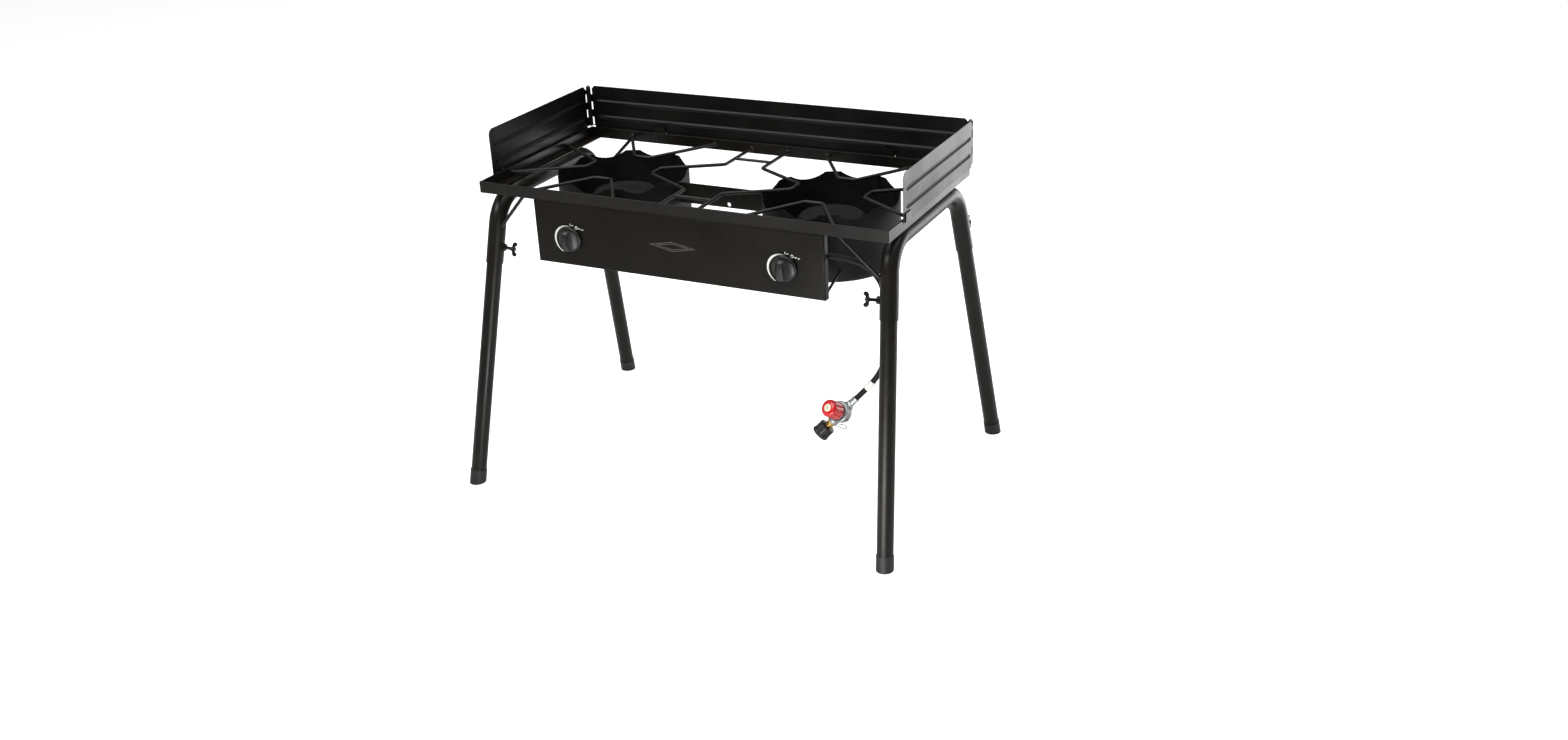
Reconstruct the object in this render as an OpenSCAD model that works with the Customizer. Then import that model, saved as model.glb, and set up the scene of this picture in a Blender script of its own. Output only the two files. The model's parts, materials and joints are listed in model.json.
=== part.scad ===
// Two-burner camp stove: a strap-steel top frame with bent-wire pot supports,
// two deep burner bowls, a control panel with two valves, a three-sided folding
// windscreen, four push-in legs on two tubular bows, and a hose with a regulator.
// Millimetres. +X is the stove's right, +Y its back, +Z up.
// The origin is on the ground, below the middle of the frame.

/* [Frame] */
// Width of the top frame, side to side
frame_w = 800; // [780:5:820]
// Depth of the top frame, front to back
frame_d = 380; // [376:2:392]
// Height of the frame's top edge above the ground
frame_h = 575; // [560:5:600]
// Height of the rail strip
rail_h = 21; // [19:1:25]
// Thickness of the rail strip
rail_t = 3; // [2.5:0.5:4]
// Width of the ledge at the foot of each side rail, measured from the rail's outside
ledge_w = 22; // [20:1:26]

/* [Pot supports] */
// Diameter of the bent support wire
wire_d = 6.4; // [5:0.2:7]
// Depth of the wire's middle below the frame's top edge
wire_drop = 11; // [9:1:13]
// Distance from the burner's middle to each finger tip
tip_reach = 70; // [64:1:78]
// Distance of the inner fingers' long straight arms from the stove's middle
inner_arm_x = 38; // [34:1:42]
// Distance of the two cross rods from the stove's middle
cross_rod_y = 116; // [108:2:124]

/* [Burners and bowls] */
// Distance of each burner's middle from the stove's middle
burner_x = 212; // [208:1:216]
// Radius of the bowl
bowl_r = 122; // [118:1:126]
// Depth of the bowl's floor below the frame's top edge
bowl_floor = 140; // [130:1:144]
// Thickness of the bowl sheet
bowl_t = 1.2; // [1:0.1:2]
// Radius of the burner head
head_r = 62; // [52:1:66]
// Depth of the burner head's top below the frame's top edge
head_top = 54; // [50:1:58]
// Number of burner ports
port_count = 24; // [16:4:32]

/* [Control panel] */
// Width of the control panel
panel_w = 570; // [550:2:576]
// Height of the control panel
panel_h = 116; // [108:2:122]
// Depth of the knobs' axes below the frame's top edge
knob_drop = 86; // [82:1:90]
// Radius of the knob's skirt
knob_r = 23; // [20:0.5:25]

/* [Windscreen] */
// Height of the windscreen above the frame's top edge
screen_h = 82; // [70:1:100]
// Thickness of the windscreen sheet
screen_t = 1; // [0.8:0.1:1.2]
// Distance of the windscreen sheets' middle outside the rails
screen_out = 4.5; // [4:0.5:6]
// Distance of the side panels' front edge before the stove's middle
wing_front = 140; // [110:2:150]
// Height of each pressed bead
bead_h = 9; // [6:1:12]
// How far each bead stands out of the sheet
bead_d = 2.4; // [1.5:0.1:3]

/* [Legs] */
// Diameter of the bows and their upper legs
bow_d = 32; // [30:1:34]
// Wall of the bow tube
bow_wall = 1.4; // [1.2:0.1:1.6]
// Middle-line radius of the bow's bends
bow_bend = 62; // [55:1:70]
// Distance of each bow's middle line from the stove's middle
bow_x = 386; // [384:1:388]
// Lean of each bow out from upright, in degrees
bow_lean = 3.8; // [2:0.2:5]
// Splay of the legs to the front and back, in degrees
leg_splay = 13.2; // [10:0.2:15]
// Distance from the stove's middle to where a bow's top and leg lines cross
bow_corner = 153; // [150:1:162]
// Straight length of each upper leg below its bend
upper_len = 76; // [70:1:90]
// Distance of each wing screw above the upper leg's end
screw_up = 32; // [20:1:40]
// Length of the lower leg inside the upper leg
leg_insert = 54; // [45:1:60]
// Play between the two leg tubes, on the radius
leg_play = 0.08; // [0.02:0.02:0.1]

/* [Hose and regulator] */
// Diameter of the gas hose
hose_d = 10; // [8:0.5:12]
// Radius of the regulator body
reg_r = 17; // [16:1:20]
// Radius of the red adjusting cap
cap_r = 15.5; // [14:0.5:18]
// Radius of the connector's hand nut
nut_r = 15; // [14:0.5:18]

/* [Hidden] */

$fn = 64;
smooth = 96;
weld = 0.3;               // how far a welded piece bites into its neighbour
fit = 0.05;               // play of a running or push fit, on the radius
bend_lap = 2;             // degrees by which a bend runs into the straights beside it
inside_y = frame_d / 2 - rail_t;
inside_x = frame_w / 2 - rail_t;
wire_r = wire_d / 2;
wire_bend = 10;
wire_z = frame_h - wire_drop;

bow_r = bow_d / 2;
bow_bore = bow_r - bow_wall;
bow_z = frame_h - rail_h - bow_r + weld;
bow_turn = 90 - leg_splay;
bow_run = bow_corner - bow_bend * tan(bow_turn / 2);
bend_end_y = bow_run + bow_bend * sin(bow_turn);
bend_end_z = -bow_bend * (1 - cos(bow_turn));
leg_r = bow_bore - leg_play;
leg_wall = 1.5;
leg_drop = cos(leg_splay) * cos(bow_lean);
leg_len = (bow_z + bend_end_z * cos(bow_lean)) / leg_drop;
screw_z = upper_len - screw_up;
screw_r = 3;
nut_h = 6;

panel_front = frame_d / 2 + 1.5;
panel_t = 1.5;
panel_lip = 12;
panel_top = frame_h - rail_h;
knob_z = frame_h - knob_drop;
valve_front = frame_d / 2;
manifold_y = -168;
manifold_z = frame_h - 64;
manifold_r = 8;
manifold_right = 238;
mouth_y = 152;            // front end of each burner's mixing tube
mouth_r = 22;
tube_r = 14;
air_hole_at = 12.5;       // distance of the air holes from the mixing tube's axis
air_hole_r = 4.6;

bowl_corner = 14;
rim_peak = frame_h - wire_drop - wire_r + weld;
rim_dip = 11;             // depth of the rim's scallops
rim_width = 33;           // half width of a scallop

screen_y = frame_d / 2 + screen_out;   // middle of the back panel's sheet
screen_x = frame_w / 2 + screen_out;   // middle of a side panel's sheet
hinge_out = 4.5;                       // outside radius of the hinge knuckles
hinge_pin_r = 2;
hinge_x = screen_x + screen_t / 2 - hinge_out;
hinge_y = screen_y + screen_t / 2 - hinge_out;
knuckles = 5;
knuckle_h = (screen_h - 5) / knuckles;
bead_zs = [20, 51];                    // heights of the two beads above the frame

// The hose's middle line, from the manifold's end to the regulator
hose_route = [
    [264, -168, 511], [276, -168, 511], [290, -167, 510], [305, -163, 508],
    [320, -156, 503], [334, -148, 495], [346, -140, 483], [355, -132, 467],
    [361, -127, 448], [365, -124, 427], [367, -122, 405], [368, -121, 382],
    [368, -121, 359], [366, -121, 336], [361, -122, 314], [353, -125, 293],
    [341, -129, 273], [327, -134, 256], [310, -141, 237],
];
hose_start = hose_route[0];
hose_end = hose_route[len(hose_route) - 1];
// Turn of the regulator: its own +X looks up the hose and its +Z out of the cap
reg_turn = [38.5, -46, 23];
hose_dir = [cos(reg_turn[1]) * cos(reg_turn[2]), cos(reg_turn[1]) * sin(reg_turn[2]), -sin(reg_turn[1])];
reg_reach = 32;           // from the hose's end to the middle of the regulator
cap_low = 14;             // foot of the cap above the regulator's middle
cap_h = 28;
nut_gap = 18;             // from the regulator's side to the hand nut
reg_at = hose_end - reg_reach * hose_dir;

steel_black = [0.13, 0.12, 0.11];
iron_black = [0.10, 0.10, 0.10];
plastic_black = [0.08, 0.08, 0.08];
brass = [0.78, 0.62, 0.32];
zinc = [0.66, 0.67, 0.68];
cap_red = [0.80, 0.10, 0.10];

// ---------- helpers ----------

module flip_x(side) {
    if (side < 0) mirror([1, 0, 0]) children();
    else children();
}

module flip_y(end) {
    if (end < 0) mirror([0, 1, 0]) children();
    else children();
}

// A flat strip outline with its corners rounded by true arcs
module soft_strip(w, h, r) {
    translate([r, 0]) square([w - 2 * r, h]);
    translate([0, r]) square([w, h - 2 * r]);
    for (x = [r, w - r], y = [r, h - r]) translate([x, y]) circle(r, $fn = 24);
}

// A round rod between two points
module rod(a, b, r) {
    v = b - a;
    translate(a)
        rotate([0, acos(v[2] / norm(v)), atan2(v[1], v[0])])
        cylinder(h = norm(v), r = r, $fn = 32);
}

function heading(a, b) = atan2(b[1] - a[1], b[0] - a[0]);
function turn_at(a, b, c) = let (t = heading(b, c) - heading(a, b)) t - 360 * round(t / 360);
function setback(a, b, c) = wire_bend * tan(abs(turn_at(a, b, c)) / 2);

// A flat wire along a list of plan points, each inner corner bent to wire_bend
module bent_wire(pts) {
    last = len(pts) - 1;
    cut = [for (i = [0 : last]) (i == 0 || i == last) ? 0 : setback(pts[i - 1], pts[i], pts[i + 1])];
    for (i = [0 : last - 1]) {
        a = heading(pts[i], pts[i + 1]);
        run = norm(pts[i + 1] - pts[i]) - cut[i] - cut[i + 1];
        translate([pts[i][0] + cut[i] * cos(a), pts[i][1] + cut[i] * sin(a), 0])
            rotate([0, 90, a]) cylinder(h = run, r = wire_r, $fn = 32);
    }
    for (i = [1 : last - 1]) {
        a = heading(pts[i - 1], pts[i]);
        t = turn_at(pts[i - 1], pts[i], pts[i + 1]);
        s = sign(t);
        start = pts[i] - cut[i] * [cos(a), sin(a)];
        middle = start + s * wire_bend * [-sin(a), cos(a)];
        translate([middle[0], middle[1], 0])
            rotate([0, 0, (s > 0 ? a - 90 : a + 90 + t) - bend_lap])
            rotate_extrude(angle = abs(t) + 2 * bend_lap, $fn = smooth)
            translate([wire_bend, 0]) circle(wire_r - 0.05, $fn = 32);
    }
}

// Places its children on one leg: the origin is where the bend ends, +Z runs down the leg
module on_leg(side, end) {
    flip_x(side) flip_y(end)
        translate([bow_x, 0, bow_z]) rotate([0, -bow_lean, 0])
        translate([0, bend_end_y, bend_end_z]) rotate([leg_splay - 180, 0, 0]) children();
}

// Turns +Z out along a wing screw: inwards on the front legs, backwards on the back legs
module along_screw(end) {
    rotate([0, 0, end < 0 ? 180 : -90]) rotate([0, 90, 0]) children();
}

module at_burner(side) {
    translate([side * burner_x, 0, 0]) children();
}

// Puts +Z along the stove's front-to-back line, starting at the depth y behind the front
module facing_back(side, y, z) {
    translate([side * burner_x, y, z]) rotate([-90, 0, 0]) children();
}

module on_regulator() {
    translate(reg_at) rotate(reg_turn) children();
}

// ---------- top frame ----------

module long_rail(end) {
    color(steel_black) flip_y(end)
        translate([-frame_w / 2, inside_y, frame_h - rail_h])
        rotate([90, 0, 90]) linear_extrude(frame_w) soft_strip(rail_t, rail_h, 0.7);
}

// The side rails are angle strips: the ledge at their foot is welded on the bows
module side_rail(side) {
    color(steel_black) flip_x(side)
        translate([frame_w / 2, inside_y, frame_h - rail_h]) rotate([90, 0, 0])
        linear_extrude(2 * inside_y) {
            translate([-rail_t, 0]) soft_strip(rail_t, rail_h, 0.7);
            translate([-ledge_w, 0]) soft_strip(ledge_w, 3, 0.7);
        }
}

module front_rail() { long_rail(-1); }
module back_rail() { long_rail(1); }
module left_rail() { side_rail(-1); }
module right_rail() { side_rail(1); }

// ---------- pot supports ----------

// A finger whose two arms spread from a blunt tip to the rails
module spread_finger(side, turn, reach) {
    tip = 17;
    spread = tip + (reach - tip_reach) * tan(33);
    color(steel_black) flip_x(side) translate([burner_x, 0, wire_z]) rotate([0, 0, turn])
        bent_wire([[reach, spread], [tip_reach, tip], [tip_reach, -tip], [reach, -spread]]);
}

// A finger between the burners: its arms turn and run on to the front and back rails
module inner_finger(side) {
    tip = 17;
    knee_y = 78;
    tip_x = burner_x - tip_reach;
    color(steel_black) flip_x(side) translate([0, 0, wire_z])
        bent_wire([
            [inner_arm_x, inside_y], [inner_arm_x, knee_y], [tip_x, tip],
            [tip_x, -tip], [inner_arm_x, -knee_y], [inner_arm_x, -inside_y],
        ]);
}

module left_burner_front_wire() { spread_finger(-1, -90, inside_y); }
module left_burner_back_wire() { spread_finger(-1, 90, inside_y); }
module left_burner_outer_wire() { spread_finger(-1, 0, inside_x - burner_x); }
module left_burner_inner_wire() { inner_finger(-1); }
module right_burner_front_wire() { spread_finger(1, -90, inside_y); }
module right_burner_back_wire() { spread_finger(1, 90, inside_y); }
module right_burner_outer_wire() { spread_finger(1, 0, inside_x - burner_x); }
module right_burner_inner_wire() { inner_finger(1); }

module cross_rods() {
    half = inner_arm_x - wire_r + weld;
    color(steel_black) for (end = [-1, 1])
        rod([-half, end * cross_rod_y, wire_z], [half, end * cross_rod_y, wire_z], wire_r - 0.4);
}

// ---------- bows and legs ----------

module bow_run_solid(r) {
    rotate([90, 0, 0]) cylinder(h = 2 * bow_run, r = r, center = true);
    for (end = [-1, 1]) flip_y(end) {
        translate([0, bow_run, -bow_bend]) rotate([90, 0, 90]) rotate([0, 0, leg_splay - bend_lap])
            rotate_extrude(angle = bow_turn + 2 * bend_lap, $fn = smooth)
            translate([bow_bend, 0]) circle(r - 0.1);
        translate([0, bend_end_y, bend_end_z]) rotate([leg_splay - 180, 0, 0])
            cylinder(h = upper_len, r = r);
    }
}

module leg_bow(side) {
    color(steel_black) difference() {
        flip_x(side) translate([bow_x, 0, bow_z]) rotate([0, -bow_lean, 0]) difference() {
            bow_run_solid(bow_r);
            bow_run_solid(bow_bore);
        }
        for (end = [-1, 1]) on_leg(side, end) translate([0, 0, screw_z])
            along_screw(end) cylinder(h = bow_d, r = screw_r + 0.5);
    }
}

module left_leg_bow() { leg_bow(-1); }
module right_leg_bow() { leg_bow(1); }

// Rods that brace the front and back rails against the upper legs
module leg_braces() {
    color(steel_black) for (side = [-1, 1], end = [-1, 1]) flip_x(side) flip_y(end)
        rod([309, 186, frame_h - rail_h + 2], [374.5, 173, frame_h - 88], 3.2);
}

// Nuts welded on the upper legs for the wing screws
module leg_nuts() {
    color(steel_black) for (side = [-1, 1], end = [-1, 1])
        on_leg(side, end) translate([0, 0, screw_z]) along_screw(end)
        translate([0, 0, bow_r - 0.6]) difference() {
            cylinder(h = nut_h, r = 7, $fn = 6);
            cylinder(h = nut_h * 3, r = screw_r + fit, center = true, $fn = 32);
        }
}

module lower_leg(side, end) {
    color(steel_black) on_leg(side, end) translate([0, 0, upper_len - leg_insert])
        difference() {
            cylinder(h = leg_len - 8 - upper_len + leg_insert, r = leg_r);
            translate([0, 0, -1]) cylinder(h = leg_len, r = leg_r - leg_wall);
        }
}

module front_left_leg() { lower_leg(-1, -1); }
module front_right_leg() { lower_leg(1, -1); }
module back_left_leg() { lower_leg(-1, 1); }
module back_right_leg() { lower_leg(1, 1); }

// End cap over the leg, cut level with the ground
module foot(side, end) {
    sock_h = 26;
    color(plastic_black) difference() {
        on_leg(side, end) translate([0, 0, leg_len - sock_h]) difference() {
            cylinder(h = sock_h + 8, r = leg_r + 1);
            translate([0, 0, -1]) cylinder(h = sock_h - 8 + 1, r = leg_r);
        }
        translate([-frame_w, -frame_w, -50]) cube([2 * frame_w, 2 * frame_w, 50]);
    }
}

module front_left_foot() { foot(-1, -1); }
module front_right_foot() { foot(1, -1); }
module back_left_foot() { foot(-1, 1); }
module back_right_foot() { foot(1, 1); }

// Clamping screw with two flat wings
module wing_screw(side, end) {
    stem = 25;
    color(steel_black) on_leg(side, end) translate([0, 0, screw_z]) along_screw(end)
        translate([0, 0, leg_r + 0.4]) {
            cylinder(h = stem, r = screw_r, $fn = 32);
            translate([0, 0, stem - 6]) cylinder(h = 8, r = 4.6, $fn = 32);
            for (wing = [-1, 1]) rotate([90, 0, 0]) linear_extrude(2.4, center = true) {
                translate([wing * 9, stem + 2]) circle(4.5, $fn = 32);
                polygon([[0, stem - 5], [wing * 10, stem - 2], [wing * 6, stem + 5], [0, stem + 2]]);
            }
        }
}

module front_left_wing_screw() { wing_screw(-1, -1); }
module front_right_wing_screw() { wing_screw(1, -1); }
module back_left_wing_screw() { wing_screw(-1, 1); }
module back_right_wing_screw() { wing_screw(1, 1); }

// ---------- control panel ----------

// Shallow sheet tray: a face with its four edges folded back
module control_panel() {
    color(steel_black) difference() {
        translate([-panel_w / 2, -panel_front, panel_top - panel_h]) difference() {
            cube([panel_w, panel_lip + panel_t, panel_h]);
            translate([panel_t, panel_t, panel_t])
                cube([panel_w - 2 * panel_t, panel_lip + 1, panel_h - 2 * panel_t]);
        }
        for (side = [-1, 1]) {
            facing_back(side, -panel_front - 1, knob_z) cylinder(h = 4, r = 6);
            for (x = [-11, 11]) facing_back(side, -panel_front - 1, knob_z)
                translate([x, 0, 0]) cylinder(h = 4, r = 2.1, $fn = 32);
        }
    }
}

// Rods from the panel's lower corners back to the bowls
module panel_stays() {
    foot_z = panel_top - panel_h + 4.5;
    bowl_end = [burner_x + (bowl_r + 1) * cos(60), -(bowl_r + 1) * sin(60), frame_h - 116];
    color(steel_black) for (side = [-1, 1]) flip_x(side) {
        rod([278, -panel_front + panel_t, foot_z], [278, -panel_front + 16, foot_z], 2.6);
        rod([278, -panel_front + 14, foot_z], bowl_end, 2.5);
    }
}

// Round-skirted knob with a finger ridge across its face
module knob(side) {
    gap = 1.5;
    color(plastic_black) facing_back(side, -panel_front - gap, knob_z) rotate([180, 0, 0])
        difference() {
            union() {
                cylinder(h = 4, r = knob_r);
                translate([0, 0, 4]) cylinder(h = 6, r1 = knob_r - 1.5, r2 = knob_r - 3);
                intersection() {
                    cylinder(h = 22, r = knob_r - 1.5);
                    translate([-5, -knob_r, 0]) cube([10, 2 * knob_r, 22]);
                }
            }
            translate([0, 0, -1]) cylinder(h = 15, r = screw_r + fit, $fn = 32);
        }
}

module left_knob() { knob(-1); }
module right_knob() { knob(1); }

module valve(side) {
    body_len = 30;
    color(brass) difference() {
        union() {
            facing_back(side, -valve_front, knob_z) {
                cylinder(h = 3, r = 8);
                translate([-15, -7, 0]) cube([30, 14, 3]);
                cylinder(h = body_len, r = 10);
                translate([0, 0, body_len]) cylinder(h = 5, r = 7, $fn = 6);
                translate([0, 0, body_len + 5]) cylinder(h = 5, r = 3.5, $fn = 32);
            }
            translate([side * burner_x, manifold_y, knob_z])
                cylinder(h = manifold_z - knob_z - 5, r = 6 - fit);
        }
        facing_back(side, -valve_front - 1, knob_z) cylinder(h = 18, r = screw_r + fit, $fn = 32);
        facing_back(side, -valve_front + body_len + 2, knob_z) cylinder(h = 12, r = 0.8, $fn = 24);
        for (x = [-11, 11]) facing_back(side, -valve_front - 1, knob_z)
            translate([x, 0, 0]) cylinder(h = 5, r = 1.95, $fn = 32);
    }
}

module left_valve() { valve(-1); }
module right_valve() { valve(1); }

module valve_stem(side) {
    color(zinc) facing_back(side, -panel_front - 13, knob_z) cylinder(h = 30, r = screw_r, $fn = 32);
}

module left_valve_stem() { valve_stem(-1); }
module right_valve_stem() { valve_stem(1); }

module valve_screws() {
    color(zinc) for (side = [-1, 1], x = [-11, 11])
        facing_back(side, -panel_front, knob_z) translate([x, 0, 0]) {
            translate([0, 0, -1]) cylinder(h = 1, r = 3.4, $fn = 32);
            cylinder(h = 4.5, r = 1.9, $fn = 32);
        }
}

module manifold_pipe() {
    left_end = -burner_x - 18;
    color(steel_black) difference() {
        translate([left_end, manifold_y, manifold_z]) rotate([0, 90, 0])
            cylinder(h = manifold_right - left_end, r = manifold_r);
        translate([left_end - 1, manifold_y, manifold_z]) rotate([0, 90, 0])
            cylinder(h = manifold_right - left_end + 2, r = manifold_r - 2.5);
        for (side = [-1, 1]) translate([side * burner_x, manifold_y, manifold_z - manifold_r - 1])
            cylinder(h = manifold_r, r = 6);
    }
}

module manifold_plug() {
    left_end = -burner_x - 18;
    color(brass) translate([left_end, manifold_y, manifold_z]) rotate([0, -90, 0]) {
        cylinder(h = 7, r = 9, $fn = 6);
        translate([0, 0, -10]) cylinder(h = 10, r = manifold_r - 2.5 - fit);
    }
}

module inlet_fitting() {
    color(brass) translate([manifold_right, manifold_y, manifold_z]) rotate([0, 90, 0]) difference() {
        union() {
            cylinder(h = 14, r = 10, $fn = 6);
            translate([0, 0, -10]) cylinder(h = 10, r = manifold_r - 2.5 - fit);
        }
        translate([0, 0, -11]) cylinder(h = 30, r = 3, $fn = 32);
    }
}

// ---------- burners and bowls ----------

// Cast burner: a ported head, a mixing tube with a flared mouth, and a foot
module burner(side) {
    head_h = 24;
    mouth_z = knob_z;
    color(iron_black) difference() {
        union() {
            at_burner(side) translate([0, 0, frame_h - head_top]) rotate_extrude($fn = smooth)
                polygon([
                    [0, -2], [head_r - 22, -2], [head_r - 16, 0], [head_r - 7, 0], [head_r, -7],
                    [head_r, -head_h + 8], [26, -head_h - 10], [14, -head_h - 20],
                    [14, -bowl_floor + head_top + bowl_t], [0, -bowl_floor + head_top + bowl_t],
                ]);
            facing_back(side, -mouth_y, mouth_z) {
                cylinder(h = 10, r = mouth_r);
                translate([0, 0, 10]) cylinder(h = 12, r1 = mouth_r, r2 = tube_r);
                cylinder(h = mouth_y, r = tube_r);
            }
        }
        at_burner(side) translate([0, 0, frame_h - head_top]) rotate_extrude($fn = smooth)
            polygon([
                [0, -7], [head_r - 8, -7], [head_r - 5, -10], [head_r - 5, -head_h + 9], [22, -head_h - 6],
                [0, -head_h - 6],
            ]);
        facing_back(side, -mouth_y + 3, mouth_z) cylinder(h = mouth_y - 3, r = tube_r - 3.5);
        facing_back(side, -mouth_y + 3, mouth_z) cylinder(h = 14, r1 = mouth_r - 4, r2 = tube_r - 3.5);
        facing_back(side, -mouth_y - 1, mouth_z) {
            cylinder(h = 6, r = 6.5);
            for (a = [0 : 120 : 240]) rotate([0, 0, a]) translate([0, air_hole_at, 0])
                cylinder(h = 6, r = air_hole_r);
        }
        at_burner(side) for (i = [0 : port_count - 1]) rotate([0, 0, i * 360 / port_count])
            translate([head_r - 3.5, 0, frame_h - head_top - 3.5]) rotate([0, 45, 0])
            cylinder(h = 14, r = 1.6, center = true, $fn = 24);
        at_burner(side) translate([0, 0, frame_h - bowl_floor]) cylinder(h = 24, r = 4 + fit, $fn = 32);
    }
}

module left_burner() { burner(-1); }
module right_burner() { burner(1); }

// Turning cap over the mouth of the mixing tube, with three air holes
module air_shutter(side) {
    plate = 2;
    color(zinc) facing_back(side, -mouth_y - plate - 0.3, knob_z) difference() {
        cylinder(h = 10, r = mouth_r + 1.5);
        translate([0, 0, plate]) cylinder(h = 20, r = mouth_r + fit);
        translate([0, 0, -1]) cylinder(h = 10, r = 6.5);
        for (a = [0 : 120 : 240]) rotate([0, 0, a]) translate([0, air_hole_at, -1])
            cylinder(h = 10, r = air_hole_r);
    }
}

module left_air_shutter() { air_shutter(-1); }
module right_air_shutter() { air_shutter(1); }

module burner_bolts() {
    color(zinc) for (side = [-1, 1]) at_burner(side) translate([0, 0, frame_h - bowl_floor]) {
        translate([0, 0, -5]) cylinder(h = 5, r = 7, $fn = 6);
        cylinder(h = 20, r = 4, $fn = 32);
    }
}

// Half outline of a pan with a rounded foot
module pan_outline(r, depth, corner) {
    square([r - corner, depth]);
    translate([0, corner]) square([r, depth - corner]);
    translate([r - corner, corner]) circle(corner);
}

// Deep sheet bowl with a scalloped rim, a hole for the mixing tube and vents in its floor
module bowl(side) {
    depth = rim_peak - frame_h + bowl_floor;
    dip_r = (rim_width * rim_width + rim_dip * rim_dip) / (2 * rim_dip);
    floor_r = bowl_r - 30;
    color(iron_black) at_burner(side) translate([0, 0, frame_h - bowl_floor]) {
        difference() {
            rotate_extrude($fn = smooth) difference() {
                pan_outline(bowl_r, depth, bowl_corner);
                translate([0, bowl_t]) pan_outline(bowl_r - bowl_t, depth, bowl_corner - bowl_t);
                translate([0, -1]) square([floor_r, depth]);
            }
            for (a = [0 : 45 : 315]) rotate([0, 90, a])
                translate([-depth + rim_dip - dip_r, 0, bowl_r - 10]) cylinder(h = 20, r = dip_r);
            translate([0, -bowl_r + 10, bowl_floor - knob_drop]) rotate([90, 0, 0])
                cylinder(h = 20, r = mouth_r + 2);
        }
        translate([0, 0, 0.1]) difference() {
            cylinder(h = bowl_t - 0.2, r = floor_r + 2);
            cylinder(h = 10, r = 4.4, center = true, $fn = 32);
            for (a = [0 : 45 : 315]) rotate([0, 0, a + 10]) translate([62, 0, 0])
                cylinder(h = 10, r = 9, center = true);
        }
    }
}

module left_bowl() { bowl(-1); }
module right_bowl() { bowl(1); }

// Strap between the two bowls, with its ends turned along their walls
module bowl_link() {
    gap = burner_x - sqrt(bowl_r * bowl_r - 9);
    top = frame_h - 27;
    color(steel_black) difference() {
        translate([-gap, -1.5, top - 38]) cube([2 * gap, 3, 38]);
        for (side = [-1, 1]) at_burner(side) translate([0, 0, frame_h - bowl_floor])
            cylinder(h = bowl_floor, r = bowl_r, $fn = smooth);
        translate([8, -5, top - 32]) rotate([-90, 0, 0]) cylinder(h = 10, r = 4, $fn = 32);
    }
}

// ---------- windscreen ----------

function bead_at(z) = let (
    steps = [for (b = bead_zs) abs(z - b) < bead_h / 2 ? bead_d / 2 * (1 + cos(360 * (z - b) / bead_h)) : 0]
) max(steps);

// Section of a beaded sheet, standing on z = 1, its beads pressed towards -X
module beaded_section() {
    step = bead_h / 12;
    zs = concat([1], [for (b = bead_zs) for (i = [-6 : 6]) b + i * step], [screen_h]);
    polygon(concat(
        [for (z = zs) [-bead_at(z) - screen_t / 2, z]],
        [for (i = [len(zs) - 1 : -1 : 0]) [-bead_at(zs[i]) + screen_t / 2, zs[i]]]
    ));
}

// Heights, above the frame, between which knuckle number i sits
function knuckle_low(i) = 3 + i * knuckle_h;

// Hinge knuckles number first, first + 2, ... at the right back corner
module hinge_knuckles(first) {
    for (i = [first : 2 : knuckles - 1])
        translate([hinge_x, hinge_y, frame_h + knuckle_low(i) + 0.25])
        cylinder(h = knuckle_h - 0.5, r = hinge_out, $fn = 48);
}

// Clearance cut round the other leaf's knuckles
module knuckle_gaps(first) {
    for (i = [first : 2 : knuckles - 1])
        translate([hinge_x, hinge_y, frame_h + knuckle_low(i) - 0.25])
        cylinder(h = knuckle_h + 0.5, r = hinge_out + 1.5, $fn = 48);
}

module pin_bore() {
    translate([hinge_x, hinge_y, frame_h]) cylinder(h = screen_h + 2, r = hinge_pin_r + fit, $fn = 32);
}

module windscreen_back() {
    clip = 12;
    color(steel_black) difference() {
        union() {
            intersection() {
                translate([-hinge_x, screen_y, frame_h]) rotate([90, 0, 90])
                    linear_extrude(2 * hinge_x) beaded_section();
                translate([0, screen_y + 10, frame_h]) rotate([90, 0, 0]) linear_extrude(20)
                    polygon([
                        [-hinge_x, 1], [hinge_x, 1], [hinge_x, screen_h - clip], [hinge_x - clip, screen_h],
                        [-hinge_x + clip, screen_h], [-hinge_x, screen_h - clip],
                    ]);
            }
            for (side = [-1, 1]) flip_x(side) hinge_knuckles(1);
        }
        for (side = [-1, 1]) flip_x(side) {
            knuckle_gaps(0);
            pin_bore();
        }
    }
}

module windscreen_wing(side) {
    clip = 12;
    round_r = 12;
    color(steel_black) flip_x(side) difference() {
        union() {
            intersection() {
                translate([screen_x, hinge_y, frame_h]) rotate([90, 0, 0])
                    linear_extrude(hinge_y + wing_front) beaded_section();
                translate([screen_x - 10, 0, frame_h]) rotate([90, 0, 90]) linear_extrude(20) {
                    polygon([
                        [-wing_front, 1], [hinge_y, 1], [hinge_y, screen_h - clip],
                        [hinge_y - clip, screen_h], [-wing_front + round_r, screen_h],
                        [-wing_front + round_r, screen_h - round_r], [-wing_front, screen_h - round_r],
                    ]);
                    translate([-wing_front + round_r, screen_h - round_r]) circle(round_r);
                }
            }
            hinge_knuckles(0);
        }
        knuckle_gaps(1);
        pin_bore();
    }
}

module windscreen_left() { windscreen_wing(-1); }
module windscreen_right() { windscreen_wing(1); }

module hinge_pins() {
    color(zinc) for (side = [-1, 1]) flip_x(side) translate([hinge_x, hinge_y, frame_h]) {
        translate([0, 0, 2.2]) cylinder(h = screen_h - 3, r = hinge_pin_r, $fn = 32);
        translate([0, 0, screen_h - 1.5]) cylinder(h = 1.5, r = 3.2, $fn = 32);
        translate([0, 0, 1.2]) cylinder(h = 1, r = 3.2, $fn = 32);
    }
}

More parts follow.
